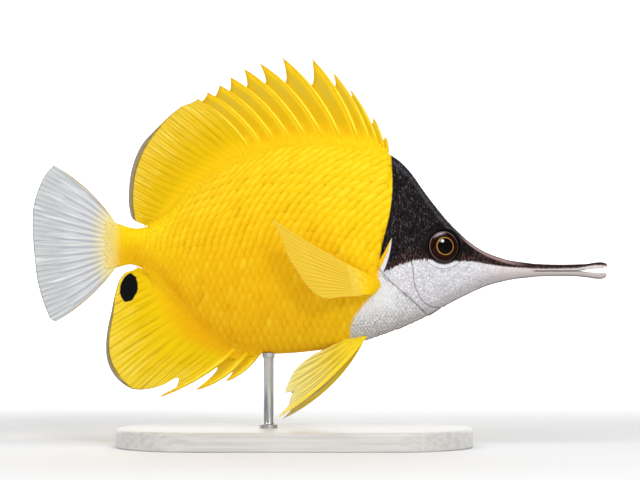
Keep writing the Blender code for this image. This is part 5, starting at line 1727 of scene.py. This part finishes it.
def make_stage():
    """A pale floor that sweeps up into a backdrop."""
    look = Look("stage", roughness=0.9, specular_ior_level=0.1, emission_color=(1.0, 1.0, 1.0, 1.0))
    look.colour("f4f4f4")
    depth = look.node("ShaderNodeSeparateXYZ", Vector=look.node("ShaderNodeTexCoord").outputs["Object"])
    glow = look.spread(depth.outputs[1], 0.10, 0.45, 0.0, 0.90)
    look.links.new(glow, look.shader.inputs["Emission Strength"])
    profile = [(-STAGE_HALF, 0.0), (SWEEP_Y, 0.0)]
    for k in range(1, 17):
        turn = math.pi / 2 * k / 16
        profile.append((SWEEP_Y + SWEEP_RADIUS * math.sin(turn), SWEEP_RADIUS * (1 - math.cos(turn))))
    profile.append((SWEEP_Y + SWEEP_RADIUS, STAGE_HALF))
    points = np.array([(x, y, z - STAGE_DROP) for x in (-STAGE_HALF, STAGE_HALF) for y, z in profile])
    faces = grid_faces(2, len(profile))
    mesh = bpy.data.meshes.new("stage_sweep")
    mesh.from_pydata((points * MM).tolist(), [], faces.tolist())
    mesh.shade_smooth()
    mesh.materials.append(look.material)
    made = put("stage_sweep", mesh)


def add_light(name, place, size, watts):
    data = bpy.data.lights.new(name, "AREA")
    data.shape = "RECTANGLE"
    data.size, data.size_y = size
    data.energy = watts
    made = put(name, data)
    made.location = np.array(place) * MM
    target = Vector(LIGHTS_AIM)
    made.rotation_mode = "QUATERNION"
    made.rotation_quaternion = (target - made.location).to_track_quat("-Z", "Y")


def make_lights():
    world = bpy.data.worlds.new("world")
    world.use_nodes = True
    sky = world.node_tree.nodes["Background"].inputs
    sky["Color"].default_value = (0.95, 0.97, 1.0, 1.0)
    sky["Strength"].default_value = SKY_STRENGTH
    bpy.context.scene.world = world
    for light in LIGHTS:
        add_light(*light)


def make_camera():
    data = bpy.data.cameras.new("camera")
    data.sensor_width = 36.0
    data.lens = data.sensor_width * CAMERA_AWAY / (640 * PIXEL)
    data.clip_start, data.clip_end = 0.05, 20.0
    made = put("camera", data)
    made.location = (FRAME_CENTRE[0] * MM, -CAMERA_AWAY * MM, FRAME_CENTRE[1] * MM)
    made.rotation_euler = (math.pi / 2, 0.0, 0.0)
    bpy.context.scene.camera = made


def main():
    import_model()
    make_camera()
    body = Body()
    skin_look = fish_look("fish_skin")
    make_skin(body, skin_look)
    scale_look = fish_look("fish_scales")
    make_scales(body, scale_look)
    make_sheaths(body, skin_look, scale_look)
    make_eyes(eye_look())
    yellow_fin = fin_look("fin_yellow", FIN_SHADE, FIN_PALE)
    make_spiny_fin("dorsal_fin_spiny", DORSAL_SPINES, True, yellow_fin)
    make_spiny_fin("anal_fin_spiny", ANAL_SPINES, False, yellow_fin)
    make_soft_fin(
        "dorsal_fin_soft", DORSAL_SPINES, -55.3, SOFT_DORSAL_MARGIN, 23, 0.97, True, yellow_fin
    )
    make_soft_fin("anal_fin_soft", ANAL_SPINES, -57.8, SOFT_ANAL_MARGIN, 19, 0.80, False, yellow_fin)
    make_tail_scales(scale_look)
    make_tail_fin(fin_look("fin_tail", TAIL_SHADE, TAIL_RAY))
    membrane = fin_look("fin_clear", FIN_SHADE, FIN_PALE)
    membrane.node_tree.nodes["Principled BSDF"].inputs["Alpha"].default_value = CLEAR_ALPHA
    for side, word in SIDES:
        make_pectoral_fin(side, word, yellow_fin, membrane)
        make_pelvic_fin(side, word, yellow_fin)
    make_base()
    make_rod()
    make_stage()
    make_lights()
    bpy.context.scene.view_settings.view_transform = "Standard"


main()
